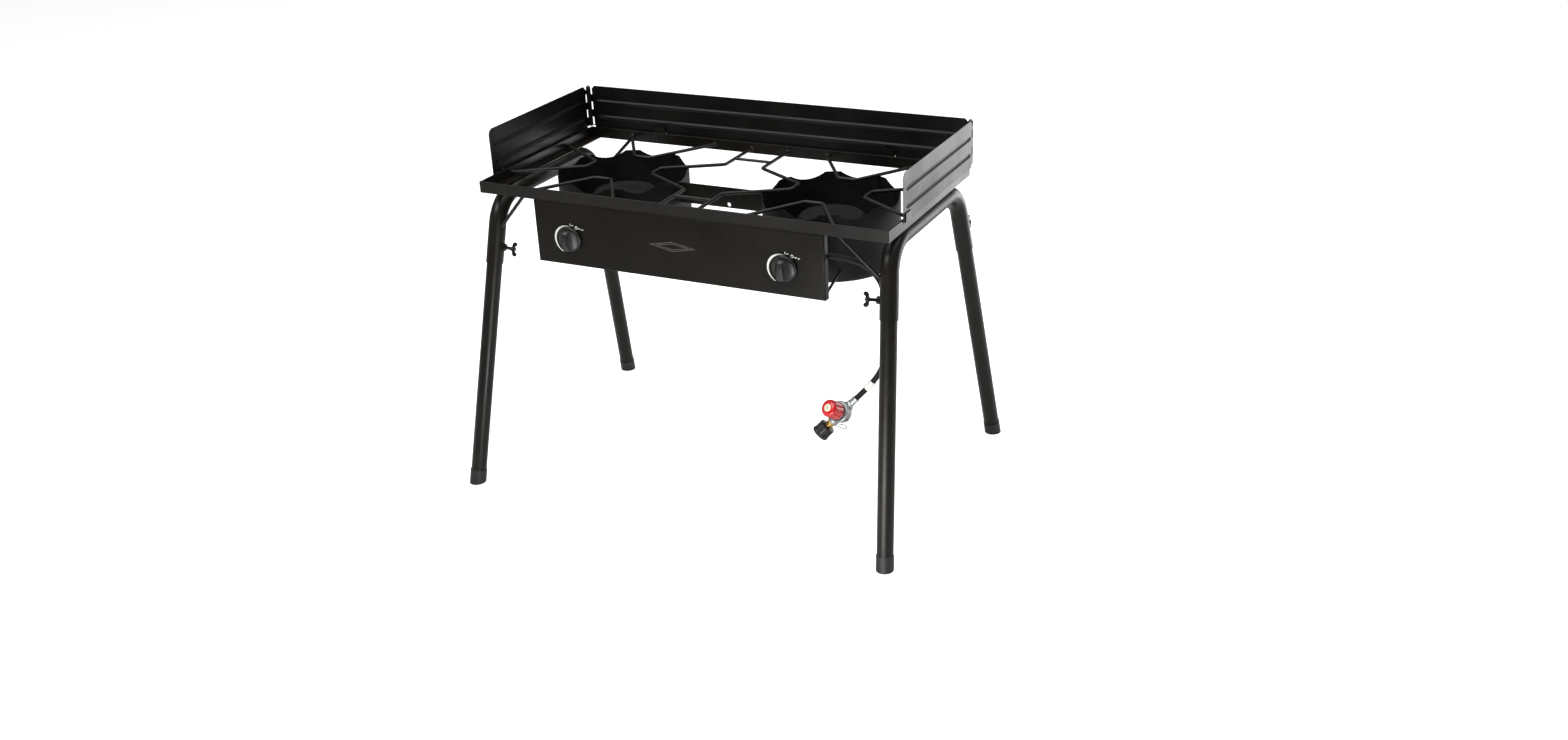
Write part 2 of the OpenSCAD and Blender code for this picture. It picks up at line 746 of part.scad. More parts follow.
// Clips welded outside the rails: U-shaped ones that the back panel stands in, and L-shaped
// ones that stop the side panels from swinging out
module windscreen_clips() {
    tab_w = 24;
    tab_t = 1.5;
    tab_low = frame_h - rail_h + 3;
    tab_top = frame_h + 12;
    seat_top = frame_h + 0.7;
    seat_h = 4;
    slot = 1.1;           // from the sheet's middle to the outer tab
    inner_t = 2.4;
    color(steel_black) for (side = [-1, 1]) flip_x(side) {
        translate([230, frame_d / 2 - weld, seat_top - seat_h])
            cube([tab_w, screen_out + slot + tab_t + weld, seat_h]);
        translate([230, frame_d / 2 - weld, tab_low])
            cube([tab_w, inner_t, tab_top - tab_low]);
        translate([230, screen_y + slot, seat_top - seat_h])
            cube([tab_w, tab_t, tab_top - seat_top + seat_h]);
        translate([frame_w / 2 - weld, -wing_front + 6, seat_top - seat_h])
            cube([screen_out + slot + tab_t + weld, tab_w, seat_h]);
        translate([screen_x + slot, -wing_front + 6, seat_top - seat_h])
            cube([tab_t, tab_w, tab_top - seat_top + seat_h]);
    }
}

// ---------- hose and regulator ----------

function unit(v) = v / norm(v);
function cord_dir(pts, i) = unit(pts[min(i + 1, len(pts) - 1)] - pts[max(i - 1, 0)]);

// A tube swept along a list of points, one ring at each
module swept_tube(pts, r, sides) {
    up = [0, 1, 0];
    rings = [for (i = [0 : len(pts) - 1])
        let (d = cord_dir(pts, i), u = unit(cross(d, up)), w = cross(d, u))
        for (k = [0 : sides - 1]) pts[i] + r * (cos(360 * k / sides) * u + sin(360 * k / sides) * w)];
    last = (len(pts) - 1) * sides;
    polyhedron(rings, concat(
        [[for (k = [0 : sides - 1]) k]],
        [for (i = [0 : len(pts) - 2], k = [0 : sides - 1])
            let (a = i * sides, b = (k + 1) % sides) [a + k, a + sides + k, a + sides + b, a + b]],
        [[for (k = [sides - 1 : -1 : 0]) last + k]]
    ));
}

module gas_hose() {
    color(plastic_black) swept_tube(hose_route, hose_d / 2, 12);
}

// Crimped ferrules at both ends of the hose
module hose_fittings() {
    color(zinc) {
        translate([manifold_right + 14, manifold_y, manifold_z]) rotate([0, 90, 0])
            cylinder(h = hose_start[0] - manifold_right - 14, r = hose_d / 2 + 1.6);
        on_regulator() rotate([0, 90, 0]) {
            translate([0, 0, reg_r + 8]) cylinder(h = reg_reach - reg_r - 2, r = hose_d / 2 + 1.6);
            translate([0, 0, reg_r + 3]) cylinder(h = 5, r = 8.5, $fn = 6);
        }
    }
}

// Zinc body: a flanged drum across the gas line, with a boss at each side
module regulator_body() {
    color(zinc) on_regulator() {
        translate([0, 0, -11]) cylinder(h = 16, r = reg_r);
        translate([0, 0, 5]) cylinder(h = 5, r = reg_r + 2.5);
        rotate([0, 90, 0]) cylinder(h = reg_r + 3, r = 9);
        rotate([0, -90, 0]) cylinder(h = reg_r + 8, r = 9.5);
        translate([0, 0, 10]) cylinder(h = cap_low + 8, r = 8, $fn = 48);
    }
}

// Red adjusting cap with finger grooves, turning on the body's spindle
module regulator_cap() {
    groove_r = 4;
    color(cap_red) on_regulator() translate([0, 0, cap_low]) difference() {
        cylinder(h = cap_h, r = cap_r);
        translate([0, 0, -1]) cylinder(h = cap_low + 6, r = 8 + fit, $fn = 48);
        for (i = [0 : 11]) rotate([0, 0, i * 30]) translate([cap_r + groove_r - 0.9, 0, -1])
            cylinder(h = cap_h + 2, r = groove_r, $fn = 24);
    }
}

module connector_nipple() {
    hex_at = reg_r + 8;
    color(brass) on_regulator() rotate([0, -90, 0]) difference() {
        union() {
            translate([0, 0, hex_at]) cylinder(h = 32, r = 6, $fn = 48);
            translate([0, 0, hex_at]) cylinder(h = 6, r = 8.5, $fn = 6);
            translate([0, 0, hex_at + 22]) cylinder(h = 4, r = 9);
        }
        translate([0, 0, hex_at + 15]) cylinder(h = 30, r = 2.5, $fn = 32);
    }
}

// Ribbed hand nut that turns on the nipple and screws on the cylinder's valve
module connector_nut() {
    nut_len = 22;
    rim_h = 5;
    color(plastic_black) on_regulator() rotate([0, -90, 0]) translate([0, 0, reg_r + nut_gap]) difference() {
        union() {
            cylinder(h = nut_len, r = nut_r);
            translate([0, 0, nut_len - rim_h]) cylinder(h = rim_h, r = nut_r + 0.8);
        }
        translate([0, 0, -1]) cylinder(h = 12, r = 6 + fit, $fn = 48);
        translate([0, 0, 8]) cylinder(h = nut_len, r = nut_r - 3);
        for (i = [0 : 15]) rotate([0, 0, i * 22.5]) translate([nut_r + 0.8, 0, -1])
            cylinder(h = nut_len - rim_h, r = 1.8, $fn = 24);
    }
}

front_rail();
back_rail();
left_rail();
right_rail();
left_burner_front_wire();
left_burner_back_wire();
left_burner_outer_wire();
left_burner_inner_wire();
right_burner_front_wire();
right_burner_back_wire();
right_burner_outer_wire();
right_burner_inner_wire();
cross_rods();
left_leg_bow();
right_leg_bow();
leg_braces();
leg_nuts();
front_left_leg();
front_right_leg();
back_left_leg();
back_right_leg();
front_left_foot();
front_right_foot();
back_left_foot();
back_right_foot();
front_left_wing_screw();
front_right_wing_screw();
back_left_wing_screw();
back_right_wing_screw();
control_panel();
panel_stays();
left_knob();
right_knob();
left_valve();
right_valve();
left_valve_stem();
right_valve_stem();
valve_screws();
manifold_pipe();
manifold_plug();
inlet_fitting();
left_burner();
right_burner();
left_air_shutter();
right_air_shutter();
burner_bolts();
left_bowl();
right_bowl();
bowl_link();
windscreen_back();
windscreen_left();
windscreen_right();
hinge_pins();
windscreen_clips();
gas_hose();
hose_fittings();
regulator_body();
regulator_cap();
connector_nipple();
connector_nut();
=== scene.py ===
# %% [markdown]
# # A two-burner camp stove
# The stove's working parts come in as a fixed frame of named nodes: rails, legs, bowls, burners.
# Nothing in that frame is moved. This lesson gives it its finishes, and models the pieces that
# need softer or finer shapes: the hose, the control panel, the knobs, the screws, the regulator.
# %% Load the frame
import json
import math
import random

import bmesh
import bpy
from mathutils import Matrix, Vector, geometry


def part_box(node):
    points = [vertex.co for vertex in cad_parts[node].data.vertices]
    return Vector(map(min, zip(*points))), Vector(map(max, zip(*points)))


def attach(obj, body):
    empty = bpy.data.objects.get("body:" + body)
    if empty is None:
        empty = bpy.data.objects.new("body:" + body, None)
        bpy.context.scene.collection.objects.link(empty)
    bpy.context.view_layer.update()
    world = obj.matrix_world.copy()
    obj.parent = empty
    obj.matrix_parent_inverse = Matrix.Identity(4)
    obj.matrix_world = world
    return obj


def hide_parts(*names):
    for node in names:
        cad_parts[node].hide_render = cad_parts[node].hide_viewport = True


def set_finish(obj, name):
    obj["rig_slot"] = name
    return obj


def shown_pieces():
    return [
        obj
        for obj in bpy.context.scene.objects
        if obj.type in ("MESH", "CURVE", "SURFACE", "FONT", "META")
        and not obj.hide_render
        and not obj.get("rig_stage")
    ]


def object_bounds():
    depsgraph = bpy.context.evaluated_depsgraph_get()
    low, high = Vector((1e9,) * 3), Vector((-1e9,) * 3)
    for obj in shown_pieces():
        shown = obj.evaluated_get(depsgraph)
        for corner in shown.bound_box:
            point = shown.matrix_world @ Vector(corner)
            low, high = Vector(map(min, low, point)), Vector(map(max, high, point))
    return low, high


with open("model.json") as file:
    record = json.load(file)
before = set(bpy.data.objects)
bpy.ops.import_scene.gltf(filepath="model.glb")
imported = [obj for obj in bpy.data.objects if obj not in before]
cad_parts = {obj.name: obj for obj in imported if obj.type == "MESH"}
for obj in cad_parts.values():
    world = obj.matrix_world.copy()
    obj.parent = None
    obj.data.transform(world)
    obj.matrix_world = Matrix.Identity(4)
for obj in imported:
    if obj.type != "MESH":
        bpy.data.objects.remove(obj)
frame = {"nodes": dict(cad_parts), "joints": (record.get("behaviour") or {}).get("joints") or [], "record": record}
cad_low, cad_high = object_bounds()
MM = 0.001
print("nodes", len(frame["nodes"]), "size", [round(v, 3) for v in cad_high - cad_low])

# %% [markdown]
# ## The camera
# The stove is seen from its front right, from a little above the windscreen. A camera's own
# axes are columns of its matrix: right, up and back. Working them out from two angles and a
# small roll keeps the view readable, where a bare matrix would hide it.
# %% Camera
EYE = Vector((1.3163, -2.3895, 1.4239))
AZIMUTH, ELEVATION, ROLL = (math.radians(a) for a in (26.89, 24.53, -2.48))
LENS_MM = 36.1

back = Vector((math.sin(AZIMUTH) * math.cos(ELEVATION),
               -math.cos(AZIMUTH) * math.cos(ELEVATION), math.sin(ELEVATION)))
level_right = Vector((math.cos(AZIMUTH), math.sin(AZIMUTH), 0))
level_up = back.cross(level_right)
right = math.cos(ROLL) * level_right + math.sin(ROLL) * level_up
up = -math.sin(ROLL) * level_right + math.cos(ROLL) * level_up
camera_data = bpy.data.cameras.new("camera")
camera_data.sensor_width, camera_data.lens = 36.0, LENS_MM
camera = bpy.data.objects.new("camera", camera_data)
bpy.context.scene.collection.objects.link(camera)
camera.matrix_world = Matrix.Translation(EYE) @ Matrix((right, up, back)).transposed().to_4x4()
bpy.context.scene.camera = camera
bpy.context.scene.view_settings.view_transform = "Standard"
print("camera", round((EYE - (cad_low + cad_high) / 2).length, 2), "m from the stove")

# %% [markdown]
# ## Small helpers
# Operators act on whatever is selected, so every step starts by deselecting. Faces and edges
# are then picked in code, by where they lie or which way they face. A finished piece has its
# place in its mesh, with its object at the origin, the same way the frame's nodes have.
# %% Helpers for modelling


def fresh():
    """Object mode with nothing selected."""
    if bpy.context.object and bpy.context.object.mode != "OBJECT":
        bpy.ops.object.mode_set(mode="OBJECT")
    bpy.ops.object.select_all(action="DESELECT")


def only(piece):
    """Makes piece the one selected and active object."""
    fresh()
    piece.select_set(True)
    bpy.context.view_layer.objects.active = piece
    return piece


def named(name):
    """The object that the last operator made, under a plain name."""
    piece = bpy.context.object
    piece.name = piece.data.name = name
    return piece


def edit(piece, mode="FACE"):
    """Edit mode on piece, with nothing selected."""
    only(piece)
    bpy.ops.object.mode_set(mode="EDIT")
    bpy.ops.mesh.select_mode(type=mode)
    bpy.ops.mesh.select_all(action="DESELECT")
    return bmesh.from_edit_mesh(piece.data)


def pick(piece, kind, test):
    """Selects the faces, edges or verts of a piece in edit mode for which test says yes."""
    mesh = bmesh.from_edit_mesh(piece.data)
    bpy.ops.mesh.select_all(action="DESELECT")
    chosen = [e for e in getattr(mesh, kind) if test(e)]
    for e in chosen:
        e.select_set(True)
    mesh.select_flush_mode()
    bmesh.update_edit_mesh(piece.data)
    return len(chosen)


def done_editing(piece, merge=1e-5):
    """Merges doubles, turns the normals outwards and leaves edit mode."""
    bpy.ops.mesh.select_all(action="SELECT")
    bpy.ops.mesh.remove_doubles(threshold=merge)
    bpy.ops.mesh.normals_make_consistent(inside=False)
    bpy.ops.object.mode_set(mode="OBJECT")
    return piece


def modify(piece, kind, **settings):
    """Adds a modifier with its settings and applies it."""
    only(piece)
    modifier = piece.modifiers.new(kind.lower(), kind)
    for key, value in settings.items():
        setattr(modifier, key, value)
    bpy.ops.object.modifier_apply(modifier=modifier.name)
    return piece


def place(piece, matrix=None):
    """Puts a piece where matrix says and bakes its whole transform into its mesh."""
    only(piece)
    if matrix is not None:
        piece.matrix_world = matrix @ piece.matrix_world
    bpy.ops.object.transform_apply(location=True, rotation=True, scale=True)
    return piece


def copy_of(piece, name, matrix):
    """A copy with its own mesh, put where matrix says. A mirrored copy is turned right side out."""
    new = piece.copy()
    new.data = piece.data.copy()
    new.name = new.data.name = name
    bpy.context.scene.collection.objects.link(new)
    new.data.transform(matrix)
    if matrix.determinant() < 0:
        new.data.flip_normals()
    return new


def joined(pieces, name):
    """Several meshes joined into one object."""
    fresh()
    for piece in pieces:
        piece.select_set(True)
    bpy.context.view_layer.objects.active = pieces[0]
    if len(pieces) > 1:
        bpy.ops.object.join()
    return named(name)


def smooth(piece, angle=35):
    """Smooth shading, with edges sharper than angle kept crisp."""
    only(piece)
    bpy.ops.object.shade_smooth_by_angle(angle=math.radians(angle))
    return piece


def spun(name, outline, steps=48):
    """A solid of revolution about Z from an outline of (radius, height) in millimetres."""
    fresh()
    bpy.ops.mesh.primitive_plane_add(size=1)
    piece = named(name)
    mesh = edit(piece, "VERT")
    bmesh.ops.delete(mesh, geom=mesh.verts[:], context="VERTS")
    points = [mesh.verts.new((r * MM, 0, z * MM)) for r, z in outline]
    for a, b in zip(points, points[1:]):
        mesh.edges.new((a, b))
    bmesh.update_edit_mesh(piece.data)
    bpy.ops.mesh.select_all(action="SELECT")
    bpy.ops.mesh.spin(steps=steps, angle=2 * math.pi, center=(0, 0, 0), axis=(0, 0, 1))
    return done_editing(piece)


def finish_piece(piece, body, slot, *stands_for):
    """Rides on a body, names its finish and hides the frame's plain version."""
    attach(piece, body)
    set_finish(piece, slot)
    if stands_for:
        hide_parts(*stands_for)
    return piece


print("helpers ready")

# %% [markdown]
# ## The gas hose
# A low-pressure gas hose is rubber over a braid, 10 mm thick. It leaves the manifold's end to
# the right, turns down behind the front leg and hangs to the regulator. A curve through listed
# points with a round bevel is the natural tool: its centre line can be measured for length.
# The curve is then turned into a mesh, so its own UV map can carry the braid.
# %% Gas hose
HOSE_D = 10 * MM
HOSE_ROUTE = [
    (0.264, -0.168, 0.511), (0.276, -0.168, 0.511), (0.290, -0.167, 0.510), (0.305, -0.163, 0.508),
    (0.320, -0.156, 0.503), (0.334, -0.148, 0.495), (0.346, -0.140, 0.483), (0.355, -0.132, 0.467),
    (0.361, -0.127, 0.448), (0.365, -0.124, 0.427), (0.367, -0.122, 0.405), (0.368, -0.121, 0.382),
    (0.368, -0.121, 0.359), (0.366, -0.121, 0.336), (0.361, -0.122, 0.314), (0.353, -0.125, 0.293),
    (0.341, -0.129, 0.273), (0.327, -0.134, 0.256), (0.310, -0.141, 0.237),
]


def curve_through(name, points, radius, cyclic=False):
    """A round-bevelled curve through points, each with automatic handles."""
    data = bpy.data.curves.new(name, "CURVE")
    data.dimensions, data.bevel_depth = "3D", radius
    data.bevel_resolution, data.resolution_u = 5, 6
    data.use_fill_caps = not cyclic
    line = data.splines.new("BEZIER")
    line.bezier_points.add(len(points) - 1)
    line.use_cyclic_u = cyclic
    for point, co in zip(line.bezier_points, points):
        point.co = co
        point.handle_left_type = point.handle_right_type = "AUTO"
    piece = bpy.data.objects.new(name, data)
    bpy.context.scene.collection.objects.link(piece)
    bpy.context.view_layer.update()
    return piece


def middle_line(piece, steps=6):
    """Points along a curve's centre line."""
    points = piece.data.splines[0].bezier_points
    line = []
    for a, b in zip(points, points[1:]):
        line += geometry.interpolate_bezier(a.co, a.handle_right, b.handle_left, b.co, steps)[:-1]
    return line + [points[-1].co.copy()]


def meshed(piece):
    """A curve turned into a mesh with its UV map."""
    only(piece)
    bpy.ops.object.convert(target="MESH")
    piece = bpy.context.object
    edit(piece)
    return done_editing(piece, merge=1e-6)


hose = curve_through("hose", HOSE_ROUTE, HOSE_D / 2)
hose_line = middle_line(hose)
hose_length = sum((b - a).length for a, b in zip(hose_line, hose_line[1:]))
hose = smooth(meshed(hose))
finish_piece(hose, "frame", "hose_rubber", "gas_hose")
print("hose", round(hose_length, 4), "m long,", len(hose.data.polygons), "faces")

# %% [markdown]
# ## The regulator's own axes
# The regulator hangs turned on the hose's end. Everything on it is modelled upright about the
# origin, in millimetres, and one matrix then carries it there: its +X looks up the hose and its
# +Z comes out of the red cap.
# %% Regulator axes
REACH = 32 * MM
turn = (Matrix.Rotation(math.radians(23), 4, "Z") @ Matrix.Rotation(math.radians(-46), 4, "Y")
        @ Matrix.Rotation(math.radians(38.5), 4, "X"))
hose_dir = turn.to_3x3() @ Vector((1, 0, 0))
ON_REGULATOR = Matrix.Translation(Vector(HOSE_ROUTE[-1]) - REACH * hose_dir) @ turn
UP_THE_HOSE = ON_REGULATOR @ Matrix.Rotation(math.pi / 2, 4, "Y")
DOWN_THE_LINE = ON_REGULATOR @ Matrix.Rotation(-math.pi / 2, 4, "Y")
print("regulator at", [round(v, 3) for v in ON_REGULATOR.translation])

# %% [markdown]
# ## Crimped ferrules
# A ferrule is a steel sleeve squeezed onto the hose in rings. It is round all along, so half of
# its outline is drawn and spun about the hose's line. The hexagon beside it is a six-sided
# cylinder with its corners bevelled, as a turned hexagon bar has.
# %% Ferrules


def hexagon(name, radius, low, high):
    """A hexagon nut along Z with chamfered corners, sizes in millimetres."""
    fresh()
    bpy.ops.mesh.primitive_cylinder_add(
        vertices=6, radius=radius * MM, depth=(high - low) * MM, location=(0, 0, (low + high) / 2 * MM))
    piece = place(named(name))
    return modify(piece, "BEVEL", width=0.5 * MM, segments=2, limit_method="ANGLE")


def ferrule(name, low, high):
    """A sleeve from low to high along Z, with three crimped rings."""
    outline = [(5.1, low), (6.2, low), (6.6, low + 0.5)]
    ring = (high - low - 3) / 3
    for i in range(3):
        z = low + 1.5 + i * ring
        outline += [(6.6, z), (5.9, z + 0.5), (5.9, z + ring - 1.2), (6.6, z + ring - 0.7)]
    outline += [(6.6, high - 0.5), (6.2, high), (5.1, high)]
    return spun(name, outline + [outline[0]])


lower = joined([ferrule("lower", 25, 38), hexagon("lower_hexagon", 8.4, 20, 25)], "lower")
place(lower, UP_THE_HOSE)
hose_start = Vector(HOSE_ROUTE[0])
upper = place(ferrule("upper", -12, 0), Matrix.Translation(hose_start) @ Matrix.Rotation(math.pi / 2, 4, "Y"))
ferrules = smooth(joined([lower, upper], "hose_ferrules"))
finish_piece(ferrules, "frame", "bright_steel", "hose_fittings")
print("ferrules", len(ferrules.data.polygons), "faces")

# %% [markdown]
# ## The white sleeve on the hose
# A short white sleeve is shrunk round the hose near the regulator. It bends with the hose, so it
# is a second curve along the same line, a little fatter, closed at its ends.
# %% Hose sleeve
SLEEVE_FROM, SLEEVE_TO = 30 * MM, 52 * MM


def stretch_of(line, near, far):
    """The points of a line that lie between two distances from its last point."""
    kept, run = [], 0.0
    for a, b in zip(line[::-1], line[::-1][1:]):
        if near <= run <= far:
            kept.append(a)
        run += (b - a).length
    return kept


sleeve = smooth(meshed(curve_through("hose_sleeve", stretch_of(hose_line, SLEEVE_FROM, SLEEVE_TO), 6.2 * MM)))
finish_piece(sleeve, "frame", "hose_rubber")
print("sleeve", len(sleeve.data.polygons), "faces")

# %% [markdown]
# ## The regulator's body
# The body is a zinc die casting: a drum with a wide flange, a boss on each side for the gas
# line and a neck that the cap turns on. The round parts are spun, since a casting of this kind
# is turned on a lathe where it seals, and the bosses are cylinders with bevelled ends.
# %% Regulator body


def boss(name, radius, length, matrix):
    """A short round boss along Z with a soft end."""
    fresh()
    bpy.ops.mesh.primitive_cylinder_add(
        vertices=40, radius=radius * MM, depth=length * MM, location=(0, 0, length / 2 * MM))
    piece = place(named(name))
    modify(piece, "BEVEL", width=1.2 * MM, segments=3, limit_method="ANGLE")
    return place(piece, matrix)


drum = spun("drum", [
    (0, -11), (8, -11), (8.6, -10.4), (8.6, -9.6), (9.2, -9), (14, -9), (16, -8.2), (17, -6.4), (17, 2.8),
    (17.4, 4.2), (18.4, 4.8), (19.2, 5.4), (19.5, 6.2), (19.5, 8.8), (18.9, 9.6), (18.1, 10), (12.6, 10),
    (12, 10.6), (12, 12.2), (11.4, 12.8), (8.6, 12.8), (8, 13.4), (8, 31.4), (7.4, 32), (0, 32)], steps=64)
outlet = boss("outlet", 9, 20, Matrix.Rotation(math.pi / 2, 4, "Y"))
inlet = boss("inlet", 9.5, 25, Matrix.Rotation(-math.pi / 2, 4, "Y"))
screws = []
for i in range(6):
    fresh()
    bpy.ops.mesh.primitive_uv_sphere_add(segments=16, ring_count=8, radius=1.7 * MM)
    head = named(f"flange_screw_{i}")
    edit(head)
    pick(head, "faces", lambda f: f.calc_center_median().z > 0.3 * MM)
    bpy.ops.mesh.delete(type="FACE")
    pick(head, "edges", lambda e: e.is_boundary)
    bpy.ops.mesh.edge_face_add()
    done_editing(head)
    screws.append(place(head, Matrix.Rotation(math.radians(60 * i + 30), 4, "Z")
                        @ Matrix.Translation((15.6 * MM, 0, 9.6 * MM))))
fresh()
bpy.ops.mesh.primitive_cylinder_add(vertices=24, radius=3.2 * MM, depth=3 * MM, location=(0, 0, 0))
vent = named("vent")
edit(vent)
pick(vent, "faces", lambda f: f.normal.z > 0.9)
bpy.ops.mesh.inset(thickness=1.6 * MM)
bpy.ops.mesh.extrude_region_move(TRANSFORM_OT_translate={"value": (0, 0, -1.5 * MM)})
done_editing(vent)
place(vent, Matrix.Rotation(math.radians(-90), 4, "Z") @ Matrix.Translation((16.6 * MM, 0, -3 * MM))
      @ Matrix.Rotation(math.pi / 2, 4, "Y"))
casting = smooth(joined([drum, outlet, inlet, vent] + screws, "regulator_casting"))
place(casting, ON_REGULATOR)
finish_piece(casting, "frame", "regulator_zinc", "regulator_body")
print("regulator body", len(casting.data.polygons), "faces")

# %% [markdown]
# ## The red cap
# The cap is moulded plastic that is turned by hand to set the pressure. Its outline is spun, and
# its finger grooves are made as a modeller would: the wall's faces are picked in strips, inset
# once for a soft border and pressed in. The centre is sunk for a pale plug.
# %% Red cap
GROOVES, STEPS_EACH = 12, 6


def pressed_strips(piece, count, share, low, high, outer, inset, depth):
    """Presses strips of a round wall in. A strip is the first share of each of count equal sectors."""
    edit(piece)

    def in_strip(face):
        middle = face.calc_center_median()
        sector = (math.atan2(middle.y, middle.x) / (2 * math.pi) * count) % 1
        round_wall = Vector((middle.x, middle.y)).length > outer * MM and abs(face.normal.z) < 0.3
        return round_wall and sector < share and low * MM < middle.z < high * MM

    pick(piece, "faces", in_strip)
    bpy.ops.mesh.inset(thickness=inset * MM)
    bpy.ops.transform.shrink_fatten(value=-depth * MM)
    return done_editing(piece)


cap = spun("red_cap", [
    (13.2, 14.2), (14.9, 14), (15.5, 14.6), (15.5, 16.4), (15.5, 35.5), (15.2, 37.6), (14.3, 39.4),
    (12.6, 40.8), (10, 41.7), (7.6, 42), (7.1, 41.7), (7, 41.1), (0, 41.1), (0, 34), (12.4, 34),
    (13.2, 32.5), (13.2, 14.2)],
    steps=GROOVES * STEPS_EACH)
pressed_strips(cap, GROOVES, 0.34, 16.4, 35.5, 14.4, 0.35, 1.0)
smooth(place(cap, ON_REGULATOR), 50)
finish_piece(cap, "regulator_cap", "cap_red", "regulator_cap")

plug = spun("cap_plug", [
    (0, 41.2), (6.9, 41.2), (6.9, 41.6), (6.4, 41.9), (2.4, 41.9), (2.2, 41.6), (0, 41.6)])
smooth(place(plug, ON_REGULATOR))
finish_piece(plug, "regulator_cap", "cap_red")
setting_screw = spun("cap_screw", [(0, 41.5), (1.9, 41.5), (1.9, 41.8), (1.6, 41.95), (0, 41.95)], steps=24)
smooth(place(setting_screw, ON_REGULATOR))
finish_piece(setting_screw, "regulator_cap", "bright_steel")
print("cap", len(cap.data.polygons), "faces")

# %% [markdown]
# ## The hand nut
# The nut that screws on a gas cylinder is black plastic with deep ribs for a wet hand, and a
# flared rim at its mouth. It is spun as a cup with a wall, then ribbed in the same way as the
# cap, with narrow ribs between wide grooves.
# %% Hand nut
RIBS = 16
nut = spun("hand_nut", [
    (6.1, 35), (12.6, 35), (14.2, 35.6), (15, 37), (15, 51.4), (15.5, 52.4), (15.8, 53.2), (15.8, 55.8),
    (15.3, 56.7), (14.4, 57), (12.7, 57), (12, 56.3), (12, 45), (11.4, 44.2), (6.1, 44), (6.1, 35)],
    steps=RIBS * 6)
pressed_strips(nut, RIBS, 0.67, 37, 51.4, 14, 0.3, 1.1)
smooth(place(nut, DOWN_THE_LINE), 50)
finish_piece(nut, "connector_nut", "nut_plastic", "connector_nut")
print("hand nut", len(nut.data.polygons), "faces")

# %% [markdown]
# ## The nipple and its wire
# The nipple inside the nut is brass, turned from hexagon bar, with a bead for its ring at the
# nose. A thin wire loop hangs from it, the bail that its shipping plug is tied to.
# %% Nipple and wire loop
nose = spun("nose", [
    (0, 29), (6, 29), (6, 46.4), (7.5, 46.8), (9, 47.4), (9, 50.4), (8.4, 51), (5.6, 51.4), (5.2, 53.4),
    (5.6, 54), (5.6, 55.6), (4.6, 56.8), (2.6, 57), (2.5, 50), (0, 50)])
nipple = joined([nose, hexagon("nipple_hexagon", 8.4, 25, 31)], "brass_nipple")
smooth(place(nipple, DOWN_THE_LINE))
finish_piece(nipple, "frame", "brass", "connector_nipple")

loop_root = ON_REGULATOR @ Vector((-32 * MM, 4 * MM, 6 * MM))
away = (level_right * math.cos(math.radians(-18)) + level_up * math.sin(math.radians(-18))).normalized()
across = away.cross(back).normalized()
loop_points = [loop_root + away * u * MM + across * v * MM for u, v in (
    (0, -1.4), (12, -1.9), (24, -2.8), (33, -3.4), (36.5, -2), (37, 1), (34.5, 2.4), (24, 1.6),
    (12, 1.2), (0, 1.2), (-3, 0))]
wire_loop = smooth(meshed(curve_through("wire_loop", loop_points, 0.8 * MM, cyclic=True)))
finish_piece(wire_loop, "frame", "regulator_zinc")
print("nipple and loop done")

# %% [markdown]
# ## The control panel
# The panel is one sheet of 1.5 mm steel with its four edges folded back, and its corners closed.
# A bend in sheet steel is never sharp: its outside radius is about twice the sheet. So a box is
# added at the panel's size, its back is taken off, its front edges are bevelled round, and the
# wall is given its thickness inwards.
# %% Control panel
PANEL_T = 1.5 * MM
panel_low, panel_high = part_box("control_panel")
panel_size, panel_mid = panel_high - panel_low, (panel_low + panel_high) / 2


def hole_cutter(x, z, radius, y, depth):
    """A cylinder lying front to back, for cutting a round hole."""
    fresh()
    bpy.ops.mesh.primitive_cylinder_add(
        vertices=32, radius=radius, depth=depth, location=(x, y, z), rotation=(math.pi / 2, 0, 0))
    return place(named("cutter"))


def cut(piece, cutter):
    """Subtracts cutter from piece and throws the cutter away."""
    modify(piece, "BOOLEAN", operation="DIFFERENCE", solver="EXACT", object=cutter)
    bpy.data.objects.remove(cutter)
    return piece


fresh()
bpy.ops.mesh.primitive_cube_add(size=1, location=panel_mid, scale=panel_size)
panel = place(named("folded_panel"))
edit(panel)
pick(panel, "faces", lambda f: f.normal.y > 0.9)
bpy.ops.mesh.delete(type="ONLY_FACE")
edge_of_front = panel_low.y + 1e-4
pick(panel, "edges", lambda e: all(v.co.y < edge_of_front for v in e.verts))
bpy.ops.mesh.bevel(offset=2.6 * MM, segments=5, affect="EDGES")
pick(panel, "edges", lambda e: abs(e.verts[0].co.y - e.verts[1].co.y) > panel_size.y * 0.5)
bpy.ops.mesh.bevel(offset=1.2 * MM, segments=3, affect="EDGES")
done_editing(panel)
modify(panel, "SOLIDIFY", thickness=PANEL_T, offset=-1, use_even_offset=True)
knob_places = {side: (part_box(f"{side}_valve_stem")[0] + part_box(f"{side}_valve_stem")[1]) / 2
               for side in ("left", "right")}
for centre in knob_places.values():
    cut(panel, hole_cutter(centre.x, centre.z, 6 * MM, panel_low.y, 8 * MM))
smooth(panel, 40)
finish_piece(panel, "frame", "panel_coat", "control_panel")
print("panel", [round(v * 1000, 1) for v in panel_size], len(panel.data.polygons), "faces")

# %% [markdown]
# ## Printed marks
# White marks are screen printed round each knob: a crescent that swells where the flame is
# largest, short strokes above it, and a ring for off. A grey lozenge sits between the knobs. Ink
# has next to no thickness, so each mark is a flat outline extruded by a tenth of a millimetre.
# %% Printed marks
INK_T = 0.12 * MM
CRESCENT_R, CRESCENT_STEPS = 25.6, 40


